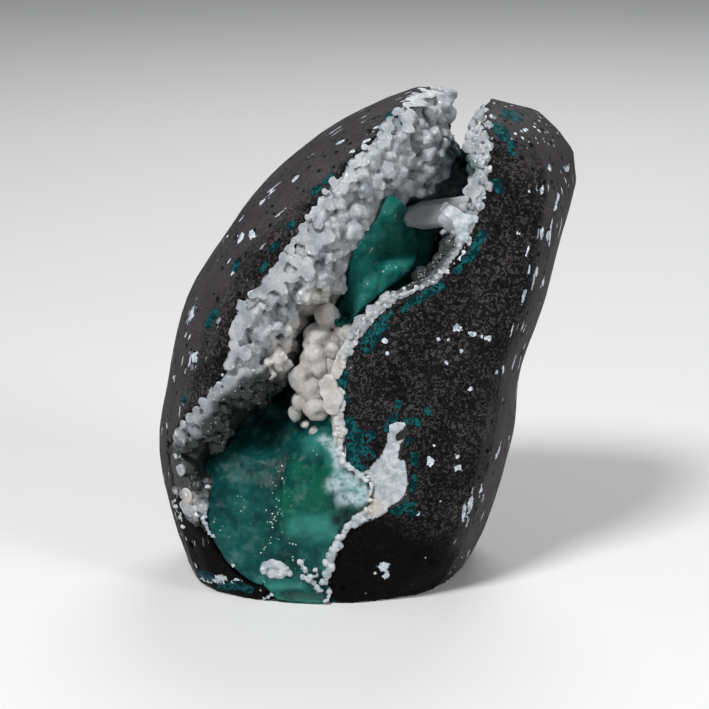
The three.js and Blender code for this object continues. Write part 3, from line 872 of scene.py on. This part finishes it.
def growth_lines(place, normal):
    """Upright lines on the sides, shallow steps, and a little unevenness all over."""
    upright = 0.08 * noise.noise(Vector((place.x / 1.1, place.y / 1.1, place.z / 9)) / MM) * (1 - abs(normal.z))
    uneven = 0.3 * noise.noise(place / (5 * MM)) + 0.14 * noise.noise(place / (1.5 * MM))
    return (upright + uneven) * MM


def crystal_mass(name, parts, voxel, worn):
    """Grows parts together into one skin and wears it smooth."""
    choose(*parts)
    bpy.ops.object.join()
    mass = bpy.context.active_object
    mass.name = name
    modify(mass, "REMESH", mode="VOXEL", voxel_size=voxel)
    modify(mass, "SMOOTH", factor=0.5, iterations=worn)
    push_points(mass, growth_lines)
    grind_down(mass, 0.9 * MM)
    return mass


def crystal_blocks(blocks, edge):
    """Blocks with blunt edges, each [across, down, depth in mm, size in mm, turn in degrees about x, y and z]."""
    return [blunt_block(at_depth(across, down, depth * MM), size, turn, min(edge, 0.3 * min(size) * MM), 3)
            for across, down, depth, size, turn in blocks]


# %% [markdown]
# The sheet begins as a flat grid over the outline's part of the picture. Its points are put in space, those outside
# of the outline go, and it is evened out before the creases are pressed in, so that they stay sharp.

# %% Laying a sheet
def lay_sheet(edge, place_all, creases, evened):
    """A sheet inside an outline in the picture, put in space by place_all(picture places), evened out and thickened.

    Each crease is [depth in mm, half width, across, down, across, down, ...], and is pressed into the sheet.
    """
    (x0, y0), (x1, y1) = np.min(edge, axis=0) - 2, np.max(edge, axis=0) + 2
    bpy.ops.object.select_all(action="DESELECT")
    bpy.ops.mesh.primitive_grid_add(x_subdivisions=round((x1 - x0) / SHEET_STEP),
                                    y_subdivisions=round((y1 - y0) / SHEET_STEP), size=1)
    sheet = bpy.context.active_object
    flat = points_of(sheet)
    seen = np.stack([x0 + (flat[:, 0] + 0.5) * (x1 - x0), y0 + (0.5 - flat[:, 1]) * (y1 - y0)], axis=1)
    for vertex, place in zip(sheet.data.vertices, place_all(seen)):
        vertex.co = place
    with editing(sheet, "DESELECT") as skin:
        skin.verts.ensure_lookup_table()
        for index in np.nonzero(~inside_edge(seen, edge))[0].tolist():
            skin.verts[index].select = True
        bmesh.update_edit_mesh(sheet.data)
        bpy.ops.mesh.delete(type="VERT")
    modify(sheet, "SMOOTH", factor=0.5, iterations=evened)
    seen = picture_places(points_of(sheet))
    pressed = sum(depth * near_strokes(seen, [crease]) ** 1.5 for depth, *crease in creases)
    for vertex, depth in zip(sheet.data.vertices, pressed.tolist()):
        vertex.co += view_forward * depth * MM
    with editing(sheet):
        backwards = [v * SHEET_THICKNESS for v in view_forward]
        bpy.ops.mesh.extrude_region_move(TRANSFORM_OT_translate={"value": backwards})
        bpy.ops.mesh.select_all(action="SELECT")
        bpy.ops.mesh.normals_make_consistent(inside=False)
    return sheet


# %% [markdown]
# The upper mass leans against the cavity's left wall. It is a darker, clearer group of prisms, grown so close that
# only faint ledges part them. Its sheet lies a little in front of whatever the solids show there, and is evened out
# long enough to become one soft face.

# %% The upper mass
SHEET_IN_FRONT = 2.4 * MM
UPPER_BLOCKS = [
    [388, 234, 7, (12, 12, 17), (4, 8, 30)], [400, 262, 6, (10, 12, 24), (3, 8, 26)],
    [376, 284, 4, (14, 12, 15), (3, 8, 34)], [362, 302, 4, (11, 11, 15), (6, -4, 14)],
]
UPPER_CREASES = [
    [0.9, 4, 352, 238, 372, 230, 392, 226, 414, 226], [0.7, 4, 384, 196, 380, 216, 378, 228],
    [0.8, 4, 388, 228, 384, 262, 378, 290, 374, 316], [0.5, 3, 404, 230, 404, 262, 400, 296],
    [0.4, 3, 356, 262, 380, 258, 398, 262],
]
upper_tree = tree_of(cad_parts["apophyllite_upper"])


def over_upper_wall(seen):
    """Places just in front of whatever the solids show there: the upper crystals or the crust beside them."""
    for place in seen.tolist():
        hits = [hit for hit in (seen_on(upper_tree, place), seen_on(crust_tree, place)) if hit]
        nearest = min(hits, key=lambda hit: (hit - EYE).length) if hits else at_depth(*place, -6 * MM)
        yield nearest - line_of_sight(place) * SHEET_IN_FRONT


upper_apophyllite = crystal_mass(
    "apophyllite_prisms",
    [lay_sheet(UPPER_EDGE, over_upper_wall, UPPER_CREASES, 30), *crystal_blocks(UPPER_BLOCKS, 1.2 * MM)],
    MASS_CELL, 5)

# %% [markdown]
# The lower mass has one broken front, level with the ground outside of the stone, and runs back into the hall. The
# points of its sheet go to the ground surface and on behind it, by a depth that is blended from a few places. Where
# the mass reaches over the rim, the stone and the crust under it are moved back, so that it isn't hidden.

# %% Where the lower mass is
# How far the front lies behind the ground surface, in mm: [across, down, mm].
LOWER_DEPTHS = [
    [212, 472, 9], [208, 494, 3], [206, 512, -0.6], [212, 540, -1.2], [224, 560, -1.2], [240, 576, -1.2],
    [262, 590, -1.0], [238, 432, 17],
    [232, 458, 8], [228, 484, 3.2], [232, 512, 1.6], [242, 545, 1.2], [252, 572, 1.0], [262, 440, 13],
    [258, 466, 6], [258, 492, 2.6], [262, 520, 2.0], [266, 556, 1.8], [272, 412, 21], [290, 400, 24],
    [296, 430, 15], [304, 450, 8], [306, 472, 3.4], [306, 496, 1.5], [326, 428, 10], [330, 452, 3.0],
    [334, 476, 0.9], [334, 498, 0.6], [352, 446, 0], [352, 474, 0], [364, 484, 0.2], [368, 502, 0.2],
    [348, 514, -1], [300, 528, 1.4], [322, 524, 1.0], [342, 530, -1], [292, 550, 2.2], [314, 548, 2.0],
    [334, 552, -1], [276, 572, 1.8], [300, 572, 3.2], [320, 576, 1.8], [332, 572, -1], [276, 596, -0.4],
    [298, 596, -0.8], [318, 596, -0.4], [300, 614, -0.6], [270, 604, -0.6], [330, 606, -1],
]
LOWER_CREASES = [
    [1.1, 7, 290, 440, 286, 470, 280, 500, 271, 535, 262, 578], [0.9, 5, 288, 508, 304, 515, 324, 515, 344, 507],
    [0.8, 6, 274, 540, 300, 544, 326, 536, 338, 530], [1.1, 9, 258, 584, 284, 584, 306, 586, 330, 580],
    [0.5, 4, 300, 462, 318, 455, 336, 460], [0.4, 4, 222, 500, 236, 520, 240, 548],
    [0.4, 3, 340, 470, 346, 486, 343, 500],
]
LOWER_BLOCKS = [
    [242, 484, -12, (15, 14, 22), (14, -14, 24)], [262, 452, -5, (14, 14, 20), (14, -6, 14)],
    [240, 520, -16, (13, 10, 13), (8, -22, 26)], [308, 482, -13, (16, 15, 20), (12, 10, -12)],
    [300, 526, -17, (16, 12, 12), (8, 4, 8)], [288, 556, -19, (12, 10, 12), (4, -10, 26)],
    [236, 440, -4, (13, 13, 18), (20, -22, 14)], [276, 424, -3, (14, 14, 20), (20, 4, 30)],
    [314, 442, -6, (12, 13, 14), (14, 16, -30)], [290, 402, 2, (13, 13, 14), (16, 10, 20)],
]


# %% Growing the lower mass
def blended(seen, samples, reach):
    """A value for each picture place, blended from sampled places that count less the farther off they are."""
    samples = np.array(samples, float)
    apart = seen[:, None, :] - samples[None, :, :2]
    weights = 1 / ((apart ** 2).sum(axis=2) + reach ** 2) ** 1.7
    return (weights * samples[:, 2]).sum(axis=1) / weights.sum(axis=1)


def behind_ground(seen):
    """Places at the measured depths behind the stone's ground surface."""
    depths = blended(seen, LOWER_DEPTHS, 14)
    for place, depth in zip(seen.tolist(), depths.tolist()):
        yield (seen_on(ground_tree, place) or at_depth(*place, -33.4 * MM)) + line_of_sight(place) * depth * MM


lower_apophyllite = crystal_mass(
    "apophyllite_mass",
    [lay_sheet(LOWER_EDGE, behind_ground, LOWER_CREASES, 10), *crystal_blocks(LOWER_BLOCKS, 4 * MM)], MASS_CELL, 8)
lower_tree = tree_of(lower_apophyllite)
print("lower mass:", len(lower_apophyllite.data.polygons), "faces")


# %% Making room for it
def step_back(piece, distance):
    """Moves the front of a piece back under the lower mass, where the mass reaches over the cavity's rim."""
    places = points_of(piece)
    hidden = inside_edge(picture_places(places), LOWER_EDGE) & (places[:, 1] < -12 * MM)
    for vertex, covered in zip(piece.data.vertices, hidden.tolist()):
        if covered:
            vertex.co += view_forward * distance


step_back(crust_base, 1.8 * MM)
step_back(stone, 1.4 * MM)

# %% [markdown]
# The white crust has also grown on the lower mass: a lump near the bottom, small knobs beside it and ragged seams
# along the rock on both sides. These knobs are put on the mass by their places in the picture.

# %% Crust on the crystals
KNOBS_ON_CRYSTALS = [
    [268, 566, 6, 1.3, 0], [276, 564, 6, 1.4, 10], [284, 568, 5.5, 1.3, 20], [289, 573, 4, 1.2, 30],
    [272, 573, 5, 1.2, 0], [280, 575, 4.5, 1.3, 0], [281, 571, 5, 1.2, 20], [263, 570, 3.5, 1.2, 60],
    [301, 562, 4, 1.2, 90], [305, 569, 3.5, 1.3, 60], [303, 577, 3, 1.3, 90], [322, 582, 3, 1.3, 120],
    [319, 590, 2.6, 1.5, 60], [312, 576, 2.4, 1.6, 0], [316, 569, 2.6, 1.4, 150], [325, 574, 3, 1.2, 90],
    [331, 566, 4.5, 1.3, 60], [336, 558, 5, 1.2, 120], [330, 556, 4, 1.3, 60], [334, 549, 4, 1.2, 110],
    [340, 545, 4.5, 1.2, 130], [345, 538, 4, 1.4, 130], [350, 531, 3.5, 1.3, 140], [355, 525, 3.2, 1.4, 140],
    [362, 520, 3, 1.6, 160], [326, 563, 3.5, 1.3, 60], [338, 537, 2.6, 1.3, 110], [326, 600, 2.4, 1.8, 120],
    [268, 604, 2.4, 1.6, 50], [264, 597, 2.2, 1.6, 70], [312, 610, 2.4, 1.3, 0],
]
SEAMS_ON_CRYSTALS = [
    [1.2, 2.4, 204, 500, 205, 520, 212, 541, 223, 560, 240, 576, 262, 590],
    [1.8, 4.0, 341, 430, 340, 446, 342, 458, 350, 470, 362, 476], [1.6, 3.2, 336, 446, 338, 462],
    [1.2, 2.6, 362, 474, 372, 486, 371, 504], [1.6, 3.2, 370, 508, 352, 522, 341, 540],
    [2.0, 4.0, 338, 540, 331, 560, 328, 580, 326, 604], [1.2, 2.2, 268, 592, 272, 606],
    [1.6, 3.0, 318, 572, 306, 580, 322, 592],
]
spots = KNOBS_ON_CRYSTALS + seams(chance, SEAMS_ON_CRYSTALS)
on_crystals = join_knobs("druse_on_crystals", drawn_knobs(spots, 0.35, lower_tree, crust_tree), SEAM_CELL, 1.2 * MM)
roughen(on_crystals, 0.3 * MM, 0.8 * MM)
druse_pieces.append(on_crystals)

# %% [markdown]
# ## Stilbite
# Two flat blades stick out of the upper hall's right wall. They are the CAD blades with their edges rounded and
# fine lines drawn along them.

# %% Blade shapes
blades = merged_copy("stilbite_blades", "stilbite_pair")
modify(blades, "REMESH", mode="VOXEL", voxel_size=0.3 * MM)
modify(blades, "SMOOTH", factor=0.5, iterations=3)
push_points(blades, lambda place, normal: 0.06 * MM * noise.noise(
    Vector((place.x / 7, place.y / 0.9, place.z / 0.9)) / MM))

# %% [markdown]
# ## Druse material
# The knobs are milky and let some light in, so they glow softly, and painted shade darkens the hollows between them
# while a painted highlight whitens their tips. The wall is a cool grey white and the pillar is creamier. The crust
# low in the cavity is painted dark as the shade it lies in, and the side pocket's filling is whiter. The cream, the
# painted shade and the white filling are each a mark in strokes, as on the stone, and a noise breaks its edge.

# %% Druse material
CREAM_SPOTS = [[34, 325, 312, 318, 345, 320, 380, 315, 410], [22, 328, 432], [18, 284, 352, 274, 368], [18, 300, 330],
               [14, 190, 494], [13, 360, 500, 374, 506]]
# Where the crust lies in shadow, mostly low in the cavity, its colour is painted dark as shade.
PAINTED_SHADE_SPOTS = [[46, 294, 408, 262, 420, 234, 438], [26, 268, 384, 248, 396, 226, 412], [24, 214, 428, 226, 414],
             [40, 188, 466, 202, 474, 208, 458], [16, 204, 486, 190, 482], [26, 180, 528, 200, 548],
             [16, 446, 244, 436, 256, 424, 270, 412, 279, 398, 284], [24, 432, 255, 420, 268]]
# Where broken brown rock shows instead of the crust, at the rims low down.
ROCK_SPOTS = [[18, 392, 528, 366, 536, 352, 552, 342, 575, 338, 600], [15, 204, 530, 216, 556, 236, 572, 262, 596],
              [5, 385, 424, 383, 440, 379, 452, 368, 464], [5, 410, 424, 410, 436, 404, 446, 402, 456],
              [4, 410, 466, 411, 484, 406, 500, 390, 510], [5, 399, 437, 408, 430]]
# Blue-green films on the crust, and the flat white filling of the side pocket.
TEAL_SPOTS = [[16, 455, 150, 468, 168], [7, 496, 112, 503, 120], [6, 352, 400, 356, 408]]
WHITE_SPOTS = [[60, 360, 500, 400, 480, 405, 430]]
# Two pieces are as white as that filling all over.
ALL_WHITE = {"druse_on_crystals": [[150, 300, 540]], "druse_fin": [[200, 460, 220]]}

druse, tree, surface = new_material("white druse")
place = add_node("TexCoord", {})["Object"]
cream = ramp(marked("cream"), 0.0, 0.5)
cloud = noise_at(place, 3.5 * MM, 3, 0.55)
grit = noise_at(place, 0.6 * MM, 3, 0.6)
cool = blend(ramp(cloud, 0.3, 0.7), (0.25, 0.275, 0.3, 1), (0.46, 0.48, 0.5, 1))
warm = blend(ramp(cloud, 0.3, 0.7), (0.4, 0.38, 0.355, 1), (0.6, 0.58, 0.56, 1))
colour = blend(cream, cool, warm)
# Painted shade darkens the hollows between knobs, and a painted highlight whitens their tips.
tips = add_node("NewGeometry", {})["Pointiness"]
colour = blend(ramp(tips, 0.4, 0.5, 0.75, 0), colour, (0.06, 0.065, 0.07, 1))
colour = blend(ramp(tips, 0.53, 0.62, 0, 0.7), colour, (0.85, 0.87, 0.9, 1))
# Painted shade: where the crust lies in shadow, its colour is blended almost to black.
painted_shade = ramp(plus(marked("painted_shade"), times(minus(cloud, 0.5), 0.8)), 0.12, 0.55)
colour = blend(times(painted_shade, 0.975), colour, (0.006, 0.008, 0.008, 1))
pocket = blend(ramp(noise_at(place, 2 * MM, 4, 0.65), 0.35, 0.65), (0.32, 0.385, 0.43, 1), (0.62, 0.655, 0.69, 1))
pocket = blend(times(cream, 0.6), pocket, (0.55, 0.46, 0.38, 1))
colour = blend(ramp(marked("white"), 0.0, 0.3, 0, 0.85), colour, pocket)
teal = ramp(plus(marked("teal"), minus(cloud, 0.5)), 0.1, 0.6)
colour = blend(times(teal, 0.9), colour, (0.006, 0.05, 0.042, 1))
rock = ramp(plus(marked("rock"), times(minus(grit, 0.5), 0.8)), 0.1, 0.3)
colour = blend(rock, colour, (0.0055, 0.0045, 0.004, 1))

# %% [markdown]
# Tiny crystal faces sparkle here and there: a painted white highlight in some small cells, and a smoother face in
# some smaller ones. The whole crust has one bending and one scattering of light, which are set on the shader itself.

# %% Sparkle and the druse's surface
# Painted highlights: some small cells are painted white as glints.
specks = cells_at(place, 0.8 * MM)
painted_sparkle = times(ramp(specks["Distance"], 0.1, 0.16, 1, 0), ramp(chance_of(specks, 1), 0.64, 0.66))
faces = cells_at(place, 0.45 * MM)
height = plus(times(grit, 0.6), times(faces["Distance"], 0.7))
set_inputs(surface, {
    "Base Color": blend(painted_sparkle, colour, (1, 1, 1, 1)), "IOR": 1.5, "Subsurface Weight": 0.6,
    "Subsurface Radius": (1.0, 1.0, 1.0), "Subsurface Scale": 0.9 * MM,
    "Roughness": ramp(ramp(chance_of(faces, 0), 0.84, 0.9), 0, 1, 0.42, 0.08), "Normal": bump(height, 0.2 * MM, 0.7)})

for piece in druse_pieces:
    stroke_marks(piece, "cream", CREAM_SPOTS)
    stroke_marks(piece, "painted_shade", [] if piece in (pillar, rim, fin) else PAINTED_SHADE_SPOTS)
    stroke_marks(piece, "rock", [] if piece == on_crystals else ROCK_SPOTS)
    stroke_marks(piece, "teal", TEAL_SPOTS)
    stroke_marks(piece, "white", ALL_WHITE.get(piece.name, WHITE_SPOTS))
    finish_piece(piece, druse, "druse", "druse_crust")
for shape in balls:
    bpy.data.objects.remove(shape)

# %% [markdown]
# ## Clear minerals
# Apophyllite is glassy but cloudy. Light goes in, is coloured blue-green on its way and comes back from milky
# patches inside, so the colour is deep green where the crystal is thick and clear, and pale where it is cloudy.

# %% Apophyllite material
# Strokes, each [half width, across, down, ...]: cloudy pale patches, clear emerald ones, and painted shade on the
# parts far back, then white clouds, painted light on the part that the light reaches in the upper hall, and painted
# glints where grains glitter.
PALE_SPOTS = [[26, 318, 446, 336, 450], [24, 346, 474, 354, 492], [22, 296, 528, 330, 526], [18, 280, 602, 318, 602],
              [16, 395, 225, 392, 245], [7, 364, 238, 384, 235, 402, 240], [7, 386, 196, 384, 212],
              [12, 262, 584, 300, 584], [14, 330, 560, 326, 570]]
EMERALD_SPOTS = [[34, 326, 476, 314, 500], [22, 286, 500, 290, 522], [24, 300, 470], [32, 380, 290], [26, 365, 310]]
PAINTED_BACK_SHADE = [[46, 262, 398, 296, 392], [40, 234, 424, 250, 416], [18, 214, 450, 212, 466], [8, 286, 456, 278, 486],
              [26, 345, 322], [18, 410, 275], [14, 345, 513, 338, 520], [12, 318, 576]]
WHITE_PATCHES = [[17, 334, 486, 348, 478, 364, 488], [15, 342, 498, 366, 498], [10, 324, 440, 336, 450, 340, 464]]
PAINTED_LIGHT_SPOTS = [[60, 388, 215, 384, 262, 360, 306]]
PAINTED_GLINT_STROKES = [[12, 283, 488, 278, 510, 270, 536], [7, 392, 268], [9, 287, 462, 282, 500, 268, 545, 262, 578],
                  [6, 318, 452, 326, 448], [5, 350, 482, 354, 486],
                  [7, 226, 540, 214, 520], [6, 240, 500, 248, 520], [9, 290, 540, 300, 580], [7, 386, 214, 392, 230],
                  [4, 361, 300], [4, 374, 262], [4, 352, 270], [4, 386, 268, 392, 262], [4, 369, 284], [4, 346, 318],
                  [4, 380, 244], [4, 397, 276], [5, 388, 270, 384, 276], [3, 360, 262], [3, 402, 250]]

apophyllite, tree, surface = new_material("blue-green apophyllite")
place = add_node("TexCoord", {})["Object"]
cloud = noise_at(place, 6 * MM, 4, 0.55)
wisps = noise_at(place, 1.6 * MM, 4, 0.6)
clouded = ramp(cloud, 0.35, 0.65)
painted_light = marked("painted_light")


def patches(name, low, high):
    """How strongly a kind of patch shows, with its edge broken by the clouds."""
    return ramp(plus(marked(name), times(minus(cloud, 0.5), 1.2)), low, high)


colour = blend(clouded, (0.001, 0.04, 0.039, 1), (0.003, 0.088, 0.08, 1))
colour = blend(patches("emerald", 0.1, 0.9), colour, (0.003, 0.11, 0.07, 1))
# Painted light: where the light reaches into the upper hall, the colour is painted lighter, with more pale wisps.
lit = blend(clouded, (0.005, 0.15, 0.125, 1), (0.03, 0.3, 0.255, 1))
colour = blend(ramp(painted_light, 0.1, 0.7), colour, lit)
colour = blend(times(patches("pale", 0.1, 1.0), 0.6), colour, (0.06, 0.36, 0.3, 1))
frost = times(patches("white", 0.1, 0.8), ramp(wisps, 0.36, 0.56, 0.25, 0.95))
colour = blend(frost, colour, (0.5, 0.62, 0.66, 1))
# Painted shade: the parts far back are blended almost to black.
colour = blend(times(patches("back_shade", 0.1, 1.0), 0.93), colour, (0.001, 0.012, 0.012, 1))
wisp_share = times(ramp(wisps, 0.46, 0.7, 0, 0.3), ramp(painted_light, 0.1, 0.7, 0.35, 1))
colour = blend(wisp_share, colour, (0.16, 0.5, 0.44, 1))

# %% [markdown]
# The glitter along the creases is painted: small cells painted nearly white, some of which show where a stroke is
# strong. The crystal lets some light through, which its volume colours by absorption, and scatters most of it inside.

# %% Glitter and the apophyllite's surface
cells = cells_at(place, 0.7 * MM)
edge = plus(cells["Distance"], times(chance_of(cells, 1), 0.3))
# Painted highlights: the glint cells are blended nearly white.
painted_glints = times(ramp(edge, 0.26, 0.36, 1, 0), maths("GREATER_THAN", marked("painted_glints"), chance_of(cells, 0)))
lines = noise_at(stretched(place, (1, 1, 0.2)), 0.6 * MM, 3, 0.6)
set_inputs(surface, {
    "Base Color": blend(times(painted_glints, 0.85), colour, (0.75, 0.95, 0.88, 1)), "Transmission Weight": 0.16,
    "IOR": 1.535, "Specular IOR Level": 0.04, "Subsurface Weight": 0.6, "Subsurface Radius": (0.3, 1.0, 0.85),
    "Subsurface Scale": 2.0 * MM, "Roughness": ramp(wisps, 0.3, 0.7, 0.3, 0.5),
    "Normal": bump(lines, 0.2 * MM, 0.6)})
absorb = add_node("VolumeAbsorption", {"Color": (0.12, 0.8, 0.68, 1), "Density": 260.0})
tree.links.new(absorb[0], tree.nodes["Material Output"].inputs["Volume"])
for piece, node in ((lower_apophyllite, "apophyllite_lower"), (upper_apophyllite, "apophyllite_upper")):
    for name, strokes in (("pale", PALE_SPOTS), ("emerald", EMERALD_SPOTS), ("back_shade", PAINTED_BACK_SHADE),
                          ("white", WHITE_PATCHES), ("painted_light", PAINTED_LIGHT_SPOTS), ("painted_glints", PAINTED_GLINT_STROKES)):
        stroke_marks(piece, name, strokes)
    finish_piece(piece, apophyllite, "apophyllite", node)

# %% [markdown]
# Stilbite is pearly and grey white, with faint streaks along the blade, and lets a little light through.

# %% Stilbite material
stilbite, tree, surface = new_material("pearly stilbite")
place = add_node("TexCoord", {})["Object"]
streaks = noise_at(stretched(place, (0.15, 1, 1)), 0.7 * MM, 3, 0.6)
set_inputs(surface, {
    "Base Color": blend(ramp(streaks, 0.3, 0.7), (0.56, 0.58, 0.59, 1), (0.7, 0.71, 0.72, 1)), "Roughness": 0.28,
    "IOR": 1.5, "Transmission Weight": 0.25, "Subsurface Weight": 0.5, "Subsurface Radius": (1, 1, 1),
    "Subsurface Scale": 1.2 * MM, "Normal": bump(streaks, 0.08 * MM, 0.3)})
finish_piece(blades, stilbite, "stilbite", "stilbite_blades")

# %% [markdown]
# ## The studio
# The specimen stands on a plain pale floor in soft light, so that it is seen for itself. A broad main light comes
# from high at the front left, a weaker one from the right opens the shadows, and one from behind lifts the edges.

# %% Floor and lights
def soft_light(name, place, size, power, aim=(0, 0, 0.055)):
    data = bpy.data.lights.new(name, "AREA")
    data.shape = "DISK"
    data.size = size
    data.energy = power
    lamp = bpy.data.objects.new(name, data)
    bpy.context.scene.collection.objects.link(lamp)
    lamp.location = place
    lamp.rotation_euler = (Vector(aim) - Vector(place)).to_track_quat("-Z", "Y").to_euler()


soft_light("key_light", (-0.3, -0.55, 0.85), 0.25, 9.0)
soft_light("side_light", (0.7, -0.6, 0.5), 0.35, 3.4)
soft_light("back_light", (0.15, 0.6, 0.7), 0.5, 3.0)
world = bpy.data.worlds.new("studio")
bpy.context.scene.world = world
world.use_nodes = True
set_inputs(world.node_tree.nodes["Background"], {"Color": (0.8, 0.83, 0.87, 1), "Strength": 0.16})
bpy.context.scene.view_settings.view_transform = "Standard"

bpy.ops.object.select_all(action="DESELECT")
bpy.ops.mesh.primitive_plane_add(size=6, location=(0, 0, 0))
floor = bpy.context.active_object
floor.name = "floor"
floor_paint, tree, surface = new_material("pale floor")
set_inputs(surface, {"Base Color": (0.8, 0.8, 0.79, 1), "Roughness": 0.7})
floor.data.materials.append(floor_paint)
floor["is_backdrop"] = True

# %% [markdown]
# The solids that only served for measuring go. Both boxes are then left as the script's last value.

# %% Sizes
for solid in (crust_solid, stone_solid, ground_solid):
    bpy.data.objects.remove(solid)
[[list(corner) for corner in box] for box in (cad_box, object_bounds())]
